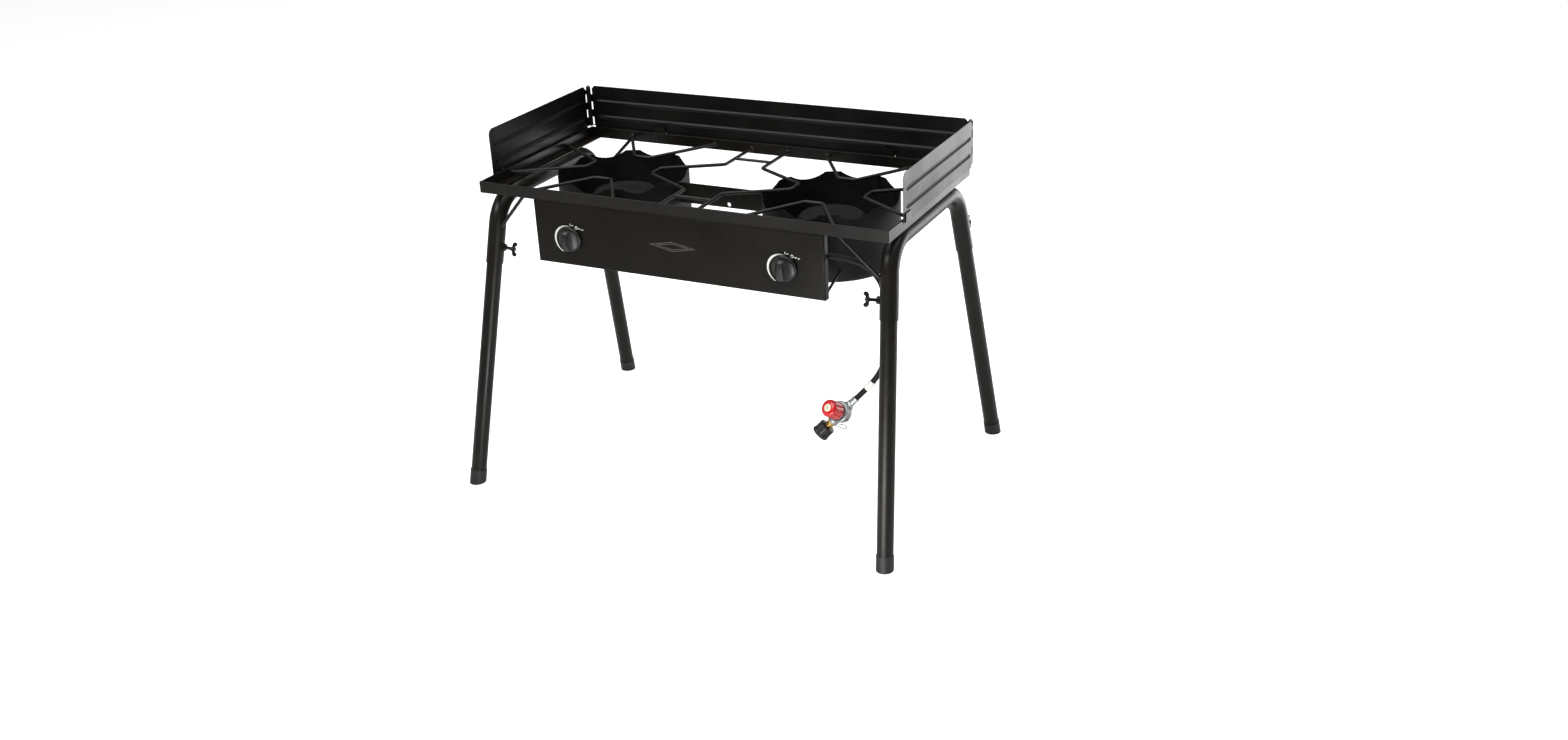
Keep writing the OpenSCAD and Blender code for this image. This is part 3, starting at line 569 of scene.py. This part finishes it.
def flat_shape(name, outline, thickness):
    """A flat plate from an outline of (x, y) in millimetres, rising from Z = 0."""
    fresh()
    bpy.ops.mesh.primitive_plane_add(size=1)
    piece = named(name)
    mesh = edit(piece, "VERT")
    bmesh.ops.delete(mesh, geom=mesh.verts[:], context="VERTS")
    mesh.faces.new([mesh.verts.new((x * MM, y * MM, 0)) for x, y in outline])
    bmesh.update_edit_mesh(piece.data)
    bpy.ops.mesh.select_all(action="SELECT")
    bpy.ops.mesh.extrude_region_move(TRANSFORM_OT_translate={"value": (0, 0, thickness)})
    return done_editing(piece)


def arc(radius, start, end, steps):
    """Points on a circle from one clock angle to another, in degrees anticlockwise from +X."""
    angles = [start + (end - start) * i / steps for i in range(steps + 1)]
    return [(radius * math.cos(math.radians(a)), radius * math.sin(math.radians(a))) for a in angles]


def crescent():
    """The swelling mark on the knob's left, from the top round to the lower left."""
    outer = arc(1, 84, 238, CRESCENT_STEPS)
    width = [1 + 2.9 * math.sin(math.pi * min(1, 0.08 + 0.92 * i / CRESCENT_STEPS)) ** 1.2
             for i in range(CRESCENT_STEPS + 1)]
    far = [((CRESCENT_R + w) * x, (CRESCENT_R + w) * y) for (x, y), w in zip(outer, width)]
    near = [(CRESCENT_R * x, CRESCENT_R * y) for x, y in outer]
    return flat_shape("crescent", far + near[::-1], INK_T)


def ring_mark(x, y, outer, inner):
    """A printed ring."""
    top = INK_T / MM
    ring = spun("ring", [(inner, 0), (outer, 0), (outer, top), (inner, top), (inner, 0)], steps=32)
    return place(ring, Matrix.Translation((x * MM, y * MM, 0)))


def stroke(x, y, w, h):
    """A printed straight stroke with round ends."""
    r = min(w, h) / 2
    long_x, long_y = w / 2 - r, h / 2 - r
    turn_from = -90 if w > h else 0
    points = [(x + long_x + px, y + long_y + py) for px, py in arc(r, turn_from, turn_from + 180, 8)]
    points += [(x - long_x + px, y - long_y + py) for px, py in arc(r, turn_from + 180, turn_from + 360, 8)]
    return flat_shape("stroke", points, INK_T)


def marks():
    """One knob's printed marks, drawn about the knob's centre."""
    low_marks = [stroke(5.6, 29.5, 1.5, 5.6), stroke(10.2, 29, 4.8, 1.5)]
    off_marks = [ring_mark(18.5, 25.5, 3, 1.7), stroke(25, 24.2, 4.6, 1.5), stroke(31, 23, 4.6, 1.5)]
    return joined([crescent()] + low_marks + off_marks, "marks")


drawn = marks()
FACE_ON = Matrix.Rotation(math.pi / 2, 4, "X")
for side, centre in knob_places.items():
    on_panel = Matrix.Translation((centre.x - 5 * MM, panel_low.y, centre.z - 4 * MM)) @ FACE_ON
    printed = copy_of(drawn, f"{side}_printed_marks", on_panel)
    finish_piece(printed, "frame", "panel_coat")
bpy.data.objects.remove(drawn)


def lozenge(half_w, half_h, line, height):
    """A printed diamond outline."""
    tips = [(half_w, 0), (0, half_h), (-half_w, 0), (0, -half_h)]
    inner_share = 1 - line / half_h
    sides = []
    for a, b in zip(tips, tips[1:] + tips[:1]):
        inner_b, inner_a = [(x * inner_share, y * inner_share) for x, y in (b, a)]
        sides.append(flat_shape("side", [a, b, inner_b, inner_a], height))
    return joined(sides, "lozenge")


emblem = joined([lozenge(46, 9, 1.1, INK_T), lozenge(33, 5.6, 0.9, INK_T)], "panel_emblem")
place(emblem, Matrix.Translation((panel_mid.x - 4 * MM, panel_low.y, panel_mid.z + 3 * MM)) @ FACE_ON)
finish_piece(emblem, "frame", "panel_coat")
print("marks printed")

# %% [markdown]
# ## The knobs
# Each knob is moulded in black plastic: a round skirt, a domed body scooped away on both sides,
# and the ridge left between the scoops for finger and thumb. The body is spun, two fat rods are
# cut out of it, and a bevel softens the ridge. It is modelled once, facing up, and copied.
# %% Knobs
knob = spun("knob", [
    (0, 0), (20.5, 0), (22.4, 0.5), (23, 1.6), (23, 3.2), (22.3, 4.4), (21, 5), (20.4, 6.2), (20, 10),
    (19.2, 14), (17.6, 17.4), (14.6, 19.8), (9, 21.2), (0, 21.6)], steps=64)
for way in (-1, 1):
    fresh()
    bpy.ops.mesh.primitive_cylinder_add(
        vertices=64, radius=20 * MM, depth=60 * MM, location=(way * 24.2 * MM, 0, 26.5 * MM),
        rotation=(math.pi / 2, 0, way * math.radians(4)))
    cut(knob, place(named("scoop")))
modify(knob, "BEVEL", width=0.9 * MM, segments=3, limit_method="ANGLE", angle_limit=math.radians(32))
smooth(knob, 40)
pointer = flat_shape("pointer", [(-0.8, 6), (0.8, 6), (0.8, 16.5), (0, 17.6), (-0.8, 16.5)], 0.5 * MM)
place(pointer, Matrix.Translation((0, 0, 20.2 * MM)) @ Matrix.Rotation(math.radians(-9), 4, "X"))
for side, centre in knob_places.items():
    low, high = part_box(f"{side}_knob")
    facing = Matrix.Translation((centre.x, high.y, centre.z)) @ FACE_ON
    body = f"{side}_knob"
    finish_piece(copy_of(knob, f"{side}_moulded_knob", facing), body, "knob_plastic", body)
    finish_piece(copy_of(pointer, f"{side}_pointer", facing), body, "knob_plastic")
for spare in (knob, pointer):
    bpy.data.objects.remove(spare)
print("knobs done")

# %% [markdown]
# ## Wing screws
# A wing screw is cast with two ears and has a rolled thread. Its stem is spun with the thread's
# crests as rings, which is all that shows at this size, and an ear is a flat outline, extruded
# and bevelled until it is soft. The four joints of the frame say where the copies go.
# %% Wing screws
PITCH, STEM, STEM_R = 1.25, 20.0, 3.0
thread = [(0, 0), (2.2, 0)]
for i in range(int(STEM / PITCH)):
    thread += [(STEM_R, 0.6 + i * PITCH), (2.45, 0.6 + (i + 0.5) * PITCH)]
thread += [(STEM_R, STEM)] + [(r, STEM + h) for r, h in (
    (4.4, 0.6), (4.8, 2.4), (4.4, 6), (3.2, 7.4), (0, 7.8))]
stem = spun("stem", thread, steps=28)
ears = []
for way in (-1, 1):
    outline = [(way * x, STEM + h) for x, h in (
        (2, 0), (6, 1), (9.5, 1.4), (12.4, 3.4), (13.4, 6.6), (12.6, 9.6),
        (10, 11.4), (7.4, 10.6), (5.6, 8), (4, 6.4), (2, 6))]
    ear = flat_shape("ear", outline if way > 0 else outline[::-1], 2.6 * MM)
    modify(ear, "BEVEL", width=0.8 * MM, segments=3, limit_method="ANGLE")
    ears.append(place(ear, Matrix.Rotation(math.pi / 2, 4, "X") @ Matrix.Translation((0, 0, -1.3 * MM))))
screw = smooth(joined([stem] + ears, "wing_screw"))
joints = {j["name"]: j for j in frame["joints"]}
for corner in ("front_left", "front_right", "back_left", "back_right"):
    out = Vector(joints[f"{corner}_screw_turn"]["axis"]).normalized()
    along = Vector(joints[f"{corner}_leg_pull"]["axis"]).normalized()
    side = along.cross(out).normalized()
    start = Vector(joints[f"{corner}_screw_turn"]["pos_m"]) + out * 15 * MM
    matrix = Matrix.Translation(start) @ Matrix((-along, side, out)).transposed().to_4x4()
    made = copy_of(screw, f"{corner}_thumb_screw", matrix)
    finish_piece(made, f"{corner}_wing_screw", "screw_black", f"{corner}_wing_screw")
bpy.data.objects.remove(screw)
print("wing screws done")

# %% [markdown]
# ## The windscreen
# The windscreen is three panels of 1 mm sheet. Two beads are pressed into each to stiffen it, and
# they fade out before its ends, because a press tool needs flat sheet to grip. A fine grid is
# the sheet: its points are pressed in by a smooth rule, it is given its thickness, and its
# corners, hinge gaps and the notches over the clips are cut out of it.
# %% Beaded sheets
SCREEN_T, BEAD_R, BEAD_DEPTH = 0.9, 4.6, 2.4
BEAD_HEIGHTS, BEAD_MARGIN = (20, 51), 16
SKIRT, CORNER_R, CLIP_CORNER = -4.5, 12, 12
frame_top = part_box("front_rail")[1].z
screen_h = (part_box("windscreen_back")[1].z - frame_top) / MM
hinge = Vector(joints["right_wing_fold"]["pos_m"])
HINGE_TO_SHEET, KNUCKLE_R, KNUCKLE_COUNT = 4.0, 4.5, 5
CLIP_MIDDLE, CLIP_HALF, CLIP_LENGTH = 242, 13, 25
knuckle_h = (screen_h - 5) / KNUCKLE_COUNT


def cut_away(piece, x0, x1, z0, z1):
    """Cuts a rectangle, in millimetres along and up the sheet, right through it."""
    fresh()
    bpy.ops.mesh.primitive_cube_add(size=1, location=((x0 + x1) / 2 * MM, 0, (z0 + z1) / 2 * MM),
                                    scale=((x1 - x0) * MM, 20 * MM, (z1 - z0) * MM))
    return cut(piece, place(named("cutter")))


def cut_corner(piece, outline):
    """Cuts an outline, in millimetres along and up the sheet, right through it."""
    depth = 20 * MM
    cutter = flat_shape("cutter", outline, depth)
    return cut(piece, place(cutter, Matrix.Translation((0, depth / 2, 0)) @ FACE_ON))


def pressed(x, z, length):
    """How far the sheet is pressed in at a point."""
    beyond = max(BEAD_MARGIN - x, 0, x - length + BEAD_MARGIN)
    near = min(math.hypot(beyond, z - bead) for bead in BEAD_HEIGHTS)
    return BEAD_DEPTH / 2 * (1 + math.cos(math.pi * near / BEAD_R)) if near < BEAD_R else 0


def beaded_sheet(name, length, columns):
    """A sheet standing along +X, its beads pressed towards -Y."""
    fresh()
    height = screen_h - SKIRT
    bpy.ops.mesh.primitive_grid_add(
        x_subdivisions=columns, y_subdivisions=88, size=1, rotation=(math.pi / 2, 0, 0),
        location=(length / 2 * MM, 0, (SKIRT + height / 2) * MM))
    sheet = named(name)
    sheet.scale = (length * MM, height * MM, 1)
    place(sheet)
    for v in sheet.data.vertices:
        v.co.y -= pressed(v.co.x / MM, v.co.z / MM, length) * MM
    return modify(sheet, "SOLIDIFY", thickness=SCREEN_T * MM, offset=0)


def knuckle(x, y, i):
    """One rolled hinge knuckle standing at a point, with a bore for the pin."""
    low, high = 3.25 + i * knuckle_h, 2.75 + (i + 1) * knuckle_h
    roll = spun("knuckle", [
        (2.1, low), (4.1, low), (KNUCKLE_R, low + 0.4), (KNUCKLE_R, high - 0.4), (4.1, high),
        (2.1, high), (2.1, low)], steps=28)
    return place(roll, Matrix.Translation((x * MM, y * MM, 0)))


def hinge_edge(piece, own, others, x, way):
    """Adds a leaf's own knuckles at a hinge and cuts the gaps for the other leaf's."""
    for i in others:
        z = 3 + i * knuckle_h
        cut_away(piece, *sorted((x - way * 1.5, x + way * 6)), z - 0.25, z + knuckle_h + 0.25)
    cut_away(piece, *sorted((x - way * 1.5, x + way * 8)), SKIRT - 1, 1)
    cut_corner(piece, [(x - way * 2, screen_h - CLIP_CORNER - 2), (x + way * (CLIP_CORNER + 2), screen_h + 2),
                       (x - way * 2, screen_h + 2)][::way])
    return [knuckle(x, -HINGE_TO_SHEET, i) for i in own]


wing_len = (hinge.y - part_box("windscreen_right")[0].y) / MM
wing = beaded_sheet("wing", wing_len, 150)
rolls = hinge_edge(wing, (0, 2, 4), (1, 3), 0, 1)
cut_corner(wing, [(wing_len + 2, screen_h + 2), (wing_len - CORNER_R, screen_h + 2)] + [
    (wing_len - CORNER_R + x, screen_h - CORNER_R + y) for x, y in arc(CORNER_R, 90, 0, 10)]
    + [(wing_len + 2, screen_h - CORNER_R)])
clip_from = (hinge.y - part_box("windscreen_clips")[0].y) / MM
cut_away(wing, clip_from - CLIP_LENGTH, clip_from + 1, SKIRT - 1, 1)
wing = joined([wing] + rolls, "wing")
upright = (Matrix.Translation((hinge.x + HINGE_TO_SHEET * MM, hinge.y, frame_top))
           @ Matrix.Rotation(-math.pi / 2, 4, "Z"))
right_wing = smooth(copy_of(wing, "right_beaded_wing", upright), 30)
left_wing = smooth(copy_of(wing, "left_beaded_wing", Matrix.Scale(-1, 4, (1, 0, 0)) @ upright), 30)
bpy.data.objects.remove(wing)
finish_piece(right_wing, "windscreen_right", "screen_coat", "windscreen_right")
finish_piece(left_wing, "windscreen_left", "screen_coat", "windscreen_left")

back_len = 2 * hinge.x / MM
back_sheet = beaded_sheet("beaded_back", back_len, 330)
rolls = hinge_edge(back_sheet, (1, 3), (0, 2, 4), 0, 1)
rolls += hinge_edge(back_sheet, (1, 3), (0, 2, 4), back_len, -1)
for way in (-1, 1):
    middle = back_len / 2 + way * CLIP_MIDDLE
    cut_away(back_sheet, middle - CLIP_HALF, middle + CLIP_HALF, SKIRT - 1, 1)
back_sheet = joined([back_sheet] + rolls, "beaded_back")
place(back_sheet, Matrix.Translation((-hinge.x, hinge.y + HINGE_TO_SHEET * MM, frame_top)))
finish_piece(smooth(back_sheet, 30), "windscreen_back", "screen_coat", "windscreen_back")
print("windscreen", [len(p.data.polygons) for p in (right_wing, left_wing, back_sheet)], "faces")

# %% [markdown]
# ## Weld beads
# The support wires are welded to the rails, and each weld leaves a small collar of metal round
# the wire, never quite even. One collar is spun and its points are nudged with a fixed seed, then
# it is copied to each wire's end, which the frame's own boxes give.
# %% Weld beads
collar = spun("collar", [
    (3.0, 0), (5.3, 0), (5.5, 0.8), (4.7, 2.0), (3.7, 3.0), (3.0, 3.3), (3.0, 0)], steps=20)
nudge = random.Random(4)
for v in collar.data.vertices:
    if Vector((v.co.x, v.co.y)).length > 3.3 * MM:
        v.co *= 1 + nudge.uniform(-0.07, 0.1)
wire_height = sum(v.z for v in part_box("cross_rods")) / 2
WIRE_R = 3.2 * MM
weld_spots = []
for side in ("left", "right"):
    for place_name, inward in (("front", Vector((0, 1, 0))), ("back", Vector((0, -1, 0)))):
        low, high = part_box(f"{side}_burner_{place_name}_wire")
        y = low.y if place_name == "front" else high.y
        weld_spots += [(Vector((x, y, wire_height)), inward) for x in (low.x + WIRE_R, high.x - WIRE_R)]
    low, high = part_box(f"{side}_burner_inner_wire")
    x = low.x + WIRE_R if side == "right" else high.x - WIRE_R
    weld_spots += [(Vector((x, low.y, wire_height)), Vector((0, 1, 0))),
                   (Vector((x, high.y, wire_height)), Vector((0, -1, 0)))]
    low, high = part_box(f"{side}_burner_outer_wire")
    x, inward = (low.x, 1) if side == "left" else (high.x, -1)
    weld_spots += [(Vector((x, y, wire_height)), Vector((inward, 0, 0)))
                   for y in (low.y + WIRE_R, high.y - WIRE_R)]
collars = []
for i, (spot, way) in enumerate(weld_spots):
    turned_in = way.to_track_quat("Z", "Y").to_matrix().to_4x4()
    collars.append(copy_of(collar, f"weld_{i}", Matrix.Translation(spot) @ turned_in))
bpy.data.objects.remove(collar)
welds = smooth(joined(collars, "wire_welds"), 60)
finish_piece(welds, "frame", "wire_coat")
print("welds", len(weld_spots))

# %% [markdown]
# ## Colours and shader nodes
# Colours are written as sRGB hex values, the way a paint chart gives them, and one function
# turns them into the linear values that shaders need. One more function adds a node, sets its
# inputs and links whatever input is given as another node's output.
# %% Helpers for materials


def linear(hex_colour):
    """A linear RGBA colour from an sRGB hex value."""
    channels = [int(hex_colour[i:i + 2], 16) / 255 for i in (1, 3, 5)]
    return [c / 12.92 if c <= 0.04045 else ((c + 0.055) / 1.055) ** 2.4 for c in channels] + [1]


def add(material, kind, inputs=None, **settings):
    """A new shader node. An input is a value, or another node's output to link."""
    node = material.node_tree.nodes.new(kind)
    for key, value in settings.items():
        setattr(node, key, value)
    for key, value in (inputs or {}).items():
        if isinstance(value, bpy.types.NodeSocket):
            material.node_tree.links.new(value, node.inputs[key])
        else:
            node.inputs[key].default_value = value
    return node


def new_material(name):
    """An empty node material."""
    material = bpy.data.materials.new(name)
    material.use_nodes = True
    material.node_tree.nodes.clear()
    return material


def close(material, inputs):
    """The surface shader and the output that end every material."""
    shader = add(material, "ShaderNodeBsdfPrincipled", inputs)
    add(material, "ShaderNodeOutputMaterial", {"Surface": shader.outputs["BSDF"]})
    return material


def ramp(material, factor, *stops):
    """A colour ramp through (place, hex or number) stops."""
    node = add(material, "ShaderNodeValToRGB", {"Fac": factor})
    elements = node.color_ramp.elements
    while len(elements) < len(stops):
        elements.new(0.5)
    for element, (place_at, value) in zip(elements, stops):
        element.position = place_at
        element.color = linear(value) if isinstance(value, str) else [value, value, value, 1]
    return node.outputs["Color"]


def grain(material, size_mm, detail=2.0, stretch=(1, 1, 1)):
    """Noise whose blotches are about size_mm across on the object."""
    place_at = add(material, "ShaderNodeTexCoord").outputs["Object"]
    scaled = add(material, "ShaderNodeMapping", {"Vector": place_at, "Scale": stretch})
    noise = add(material, "ShaderNodeTexNoise", {
        "Vector": scaled.outputs["Vector"], "Scale": 1000 / size_mm, "Detail": detail, "Roughness": 0.55})
    return noise.outputs["Fac"]


def bumps(material, *layers):
    """Bump layers of (height, depth in millimetres), one through another."""
    normal = None
    for height, depth_mm in layers:
        inputs = {"Height": height, "Strength": 1.0, "Distance": depth_mm * MM}
        if normal:
            inputs["Normal"] = normal
        normal = add(material, "ShaderNodeBump", inputs).outputs["Normal"]
    return normal


print("shader helpers ready")

# %% [markdown]
# ## Powder coat
# The frame, the panel, the windscreen and the legs are steel with black polyester powder coat.
# The powder is melted on in an oven and flows out with a slight orange peel about 2 mm across,
# over a fine texture. That gives a satin sheen that breaks up at the edge of each highlight. The
# black is a warm one. Dust dulls it in patches, which shows as small changes of roughness.
# %% Powder coat


def powder_coat(name, dark, light, rough, peel_mm, peel_depth, sheen_level):
    """Black powder coat between two close colours, with orange peel of a given size."""
    m = new_material(name)
    patches = grain(m, 70, 3)
    peel = grain(m, peel_mm, 1)
    fine = grain(m, 0.5, 2)
    return close(m, {
        "Base Color": ramp(m, patches, (0.35, dark), (0.7, light)),
        "Roughness": ramp(m, patches, (0.3, rough - 0.05), (0.75, rough + 0.07)),
        "IOR": 1.5, "Specular IOR Level": sheen_level,
        "Normal": bumps(m, (peel, peel_depth), (fine, 0.004))})


frame_coat = powder_coat(
    "satin black powder coat on strap and tube", "#12100d", "#191612", 0.33, 2.2, 0.035, 0.26)
panel_coat = powder_coat("satin black powder coat on sheet", "#110f0c", "#171410", 0.42, 2.0, 0.030, 0.14)
screen_coat = powder_coat(
    "satin black powder coat on windscreen sheet", "#100f0e", "#171614", 0.38, 2.6, 0.030, 0.22)
print("powder coats made")

# %% [markdown]
# ## Wire and heat paint
# The pot supports are coated too, but pans rub their tops and the flames bake them, so the black
# is duller and greyer in streaks. The bowls and burners have matt stove paint, which is rough like
# fine sandpaper and scatters nearly all light. Iron shows the sand of its mould under it.
# %% Wire and heat paint


def baked_paint(name, dark, light, rough, grit, sand, sheen_level):
    """Matt black stove paint over a rough base. Grit and sand are each (size, depth) in millimetres."""
    m = new_material(name)
    blotches = grain(m, 34, 4)
    return close(m, {
        "Base Color": ramp(m, blotches, (0.36, dark), (0.52, light), (0.74, dark)),
        "Roughness": ramp(m, blotches, (0.3, rough - 0.08), (0.7, rough + 0.06)),
        "IOR": 1.5, "Specular IOR Level": sheen_level,
        "Normal": bumps(m, (grain(m, sand[0], 3), sand[1]), (grain(m, grit[0], 2), grit[1]))})


wire_coat = baked_paint(
    "baked black coat on support wire", "#181614", "#22201d", 0.42, (0.6, 0.01), (3.0, 0.03), 0.32)
bowl_coat = baked_paint(
    "matt stove paint on pressed steel", "#0c0b0a", "#131210", 0.62, (0.5, 0.012), (6.0, 0.03), 0.2)
burner_iron = baked_paint(
    "stove paint on sand-cast iron", "#0d0c0b", "#161412", 0.70, (0.7, 0.03), (2.4, 0.14), 0.16)
print("heat paints made")

# %% [markdown]
# ## Bare metals
# Brass fittings are turned, with faint rings left by the tool and a little tarnish. Zinc-plated
# steel is bright with a cloudy spangle. The regulator is die-cast zinc, blasted to an even grey.
# A metal keeps the default IOR, because its colour comes from the base colour.
# %% Bare metals


def bare_metal(name, dark, light, rough, cloud_mm, fine_mm, fine_depth):
    """A bare or plated metal with clouds of tarnish and a fine surface."""
    m = new_material(name)
    clouds = grain(m, cloud_mm, 4)
    return close(m, {
        "Base Color": ramp(m, clouds, (0.34, dark), (0.66, light)),
        "Roughness": ramp(m, clouds, (0.3, rough + 0.12), (0.7, rough)),
        "Metallic": 1.0, "Normal": bumps(m, (grain(m, fine_mm, 2), fine_depth))})


brass = bare_metal("turned brass", "#9d7a3c", "#c9a663", 0.26, 9, 0.7, 0.008)
bright_steel = bare_metal("zinc-plated steel", "#a3a6a8", "#cfd2d3", 0.28, 5, 0.6, 0.008)
zinc = bare_metal("blasted zinc die casting", "#8d9092", "#a8abac", 0.42, 12, 0.45, 0.02)
print("metals made")

# %% [markdown]
# ## Plastics and rubber
# The knobs and the hand nut are black nylon with a faint spark-eroded texture from the mould. The
# cap is glossy red plastic, smooth but for a little waviness. The hose's rubber keeps the weave of
# its wrapping, which runs round it at a slant, and its own UV map lays that weave along it.
# %% Plastics and rubber


def moulded(name, dark, light, rough, texture_mm, texture_depth, coat=0.0):
    """Moulded plastic with a mould texture of a given size."""
    m = new_material(name)
    flow = grain(m, 16, 2)
    return close(m, {
        "Base Color": ramp(m, flow, (0.35, dark), (0.7, light)),
        "Roughness": ramp(m, flow, (0.3, rough), (0.7, rough + 0.06)),
        "IOR": 1.5, "Coat Weight": coat, "Coat Roughness": 0.08,
        "Normal": bumps(m, (grain(m, texture_mm, 2), texture_depth))})


knob_plastic = moulded("black nylon knob", "#151413", "#1b1a19", 0.34, 0.7, 0.012)
nut_plastic = moulded("black nylon nut", "#141414", "#1c1c1c", 0.42, 0.7, 0.02)
foot_plastic = moulded("black vinyl end cap", "#121212", "#1a1918", 0.5, 0.9, 0.02)
cap_red = moulded("glossy red plastic", "#b40e18", "#c9141e", 0.2, 3.0, 0.012, coat=0.5)
white_plastic = moulded("white shrink sleeve", "#d8d8d2", "#e8e8e3", 0.36, 2.0, 0.02)
plug_plastic = moulded("cream plastic plug", "#d9d2b4", "#e6dfc4", 0.34, 2.0, 0.012)
ink = moulded("white printing ink", "#d5d5d0", "#e6e6e2", 0.5, 0.8, 0.006)
grey_ink = moulded("dark grey printing ink", "#4a4641", "#57534d", 0.45, 0.8, 0.006)


def woven_rubber():
    """Black rubber with the slanting weave of its wrapping, on the hose's own UV map."""
    m = new_material("wrapped black hose rubber")
    along = add(m, "ShaderNodeTexCoord").outputs["UV"]
    weaves = []
    for slant in (1, -1):
        turned = add(m, "ShaderNodeMapping", {
            "Vector": along, "Scale": (hose_length / (3.2 * MM), 1, 1)})
        parts = add(m, "ShaderNodeSeparateXYZ", {"Vector": turned.outputs["Vector"]})
        rounds = add(m, "ShaderNodeMath", {0: parts.outputs["Y"], 1: 8.0 * slant}, operation="MULTIPLY")
        thread = add(m, "ShaderNodeMath", {0: parts.outputs["X"], 1: rounds.outputs[0]}, operation="ADD")
        wave = add(m, "ShaderNodeMath", {0: thread.outputs[0], 1: 2 * math.pi}, operation="MULTIPLY")
        weaves.append(add(m, "ShaderNodeMath", {0: wave.outputs[0]}, operation="SINE").outputs[0])
    weave = add(m, "ShaderNodeMath", {0: weaves[0], 1: weaves[1]}, operation="MAXIMUM").outputs[0]
    patches = grain(m, 22, 3)
    return close(m, {
        "Base Color": ramp(m, patches, (0.35, "#100f0f"), (0.7, "#1a1918")),
        "Roughness": ramp(m, patches, (0.3, 0.42), (0.7, 0.58)),
        "IOR": 1.5, "Specular IOR Level": 0.2, "Normal": bumps(m, (weave, 0.16), (grain(m, 0.8, 2), 0.02))})


hose_rubber = woven_rubber()
print("plastics and rubber made")

# %% [markdown]
# ## Every node gets its finish
# The frame's record names a material slot for each node. A new piece takes the finish of the slot
# it stands for, unless it is listed by name, as the white marks on the black panel are.
# %% Assign the materials
BY_SLOT = {
    "frame_coat": frame_coat, "wire_coat": wire_coat, "screen_coat": screen_coat, "panel_coat": panel_coat,
    "screw_black": frame_coat, "foot_plastic": foot_plastic, "knob_plastic": knob_plastic, "brass": brass,
    "bright_steel": bright_steel, "burner_iron": burner_iron, "bowl_coat": bowl_coat,
    "hose_rubber": hose_rubber, "regulator_zinc": zinc, "cap_red": cap_red, "nut_plastic": nut_plastic,
}
BY_PIECE = {
    "hose_sleeve": white_plastic, "cap_plug": plug_plastic, "left_pointer": ink, "right_pointer": ink,
    "left_printed_marks": ink, "right_printed_marks": ink, "panel_emblem": grey_ink,
}
slot_of = {part["node"]: part["material_slot"] for part in frame["record"]["subparts"]}
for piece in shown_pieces():
    finish = BY_PIECE.get(piece.name) or BY_SLOT[piece.get("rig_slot") or slot_of[piece.name]]
    piece.data.materials.clear()
    piece.data.materials.append(finish)

# %% [markdown]
# ## Floor and light
# Black steel is drawn by what it reflects, so the light is large and soft: one softbox above, one
# high at the front left for the bright line down each tube, and one low behind at the right that
# lights the outer side of the windscreen. The floor and the backdrop are pale.
# %% Floor and light
FLOOR_GLOW = 0.7
fresh()
bpy.ops.mesh.primitive_plane_add(size=60)
floor = named("floor")
floor_paint = new_material("pale studio floor")
painted = add(floor_paint, "ShaderNodeBsdfDiffuse", {
    "Color": ramp(floor_paint, grain(floor_paint, 900, 2), (0.3, "#ececea"), (0.7, "#f0f0ee"))})
glow = add(floor_paint, "ShaderNodeEmission", {
    "Color": linear("#ffffff"), "Strength": add(floor_paint, "ShaderNodeMath", {
        0: add(floor_paint, "ShaderNodeLightPath").outputs["Is Camera Ray"], 1: FLOOR_GLOW},
        operation="MULTIPLY").outputs[0]})
both = add(floor_paint, "ShaderNodeAddShader", {0: painted.outputs[0], 1: glow.outputs[0]})
add(floor_paint, "ShaderNodeOutputMaterial", {"Surface": both.outputs[0]})
floor.data.materials.append(floor_paint)
floor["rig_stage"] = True


def softbox(name, place_at, target, width, height, power):
    """An area light of a given size, aimed at a point."""
    data = bpy.data.lights.new(name, "AREA")
    data.shape, data.size, data.size_y, data.energy = "RECTANGLE", width, height, power
    light = bpy.data.objects.new(name, data)
    bpy.context.scene.collection.objects.link(light)
    light.location = place_at
    light.rotation_euler = (Vector(target) - Vector(place_at)).to_track_quat("-Z", "Y").to_euler()
    light.visible_camera = False
    return light


MIDDLE = (cad_low + cad_high) / 2
softbox("overhead", (0.2, 0.3, 3.2), MIDDLE, 4.0, 4.0, 95)
softbox("front_top", (-1.0, -1.6, 2.2), MIDDLE, 1.6, 0.8, 30)
softbox("right_floor", (1.15, 1.3, 0.03), (0.4, 0.0, 0.6), 1.8, 1.3, 26)
softbox("front_floor", (0.38, -0.95, 0.04), (0.4, -0.2, 0.4), 0.5, 0.35, 8)

world = bpy.data.worlds.new("studio")
world.use_nodes = True
bpy.context.scene.world = world
world.node_tree.nodes.clear()
seen = add(world, "ShaderNodeLightPath").outputs["Is Camera Ray"]
room = add(world, "ShaderNodeBackground", {"Color": linear("#f4f4f4"), "Strength": 0.28})
drop = add(world, "ShaderNodeBackground", {"Color": linear("#ffffff"), "Strength": 1.0})
mixed = add(world, "ShaderNodeMixShader", {0: seen, 1: room.outputs[0], 2: drop.outputs[0]})
add(world, "ShaderNodeOutputWorld", {"Surface": mixed.outputs[0]})
print("lights placed")

# %% Record the sizes and finish
low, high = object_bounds()
print("model box", [round(v * 1000, 1) for v in high - low], "mm")
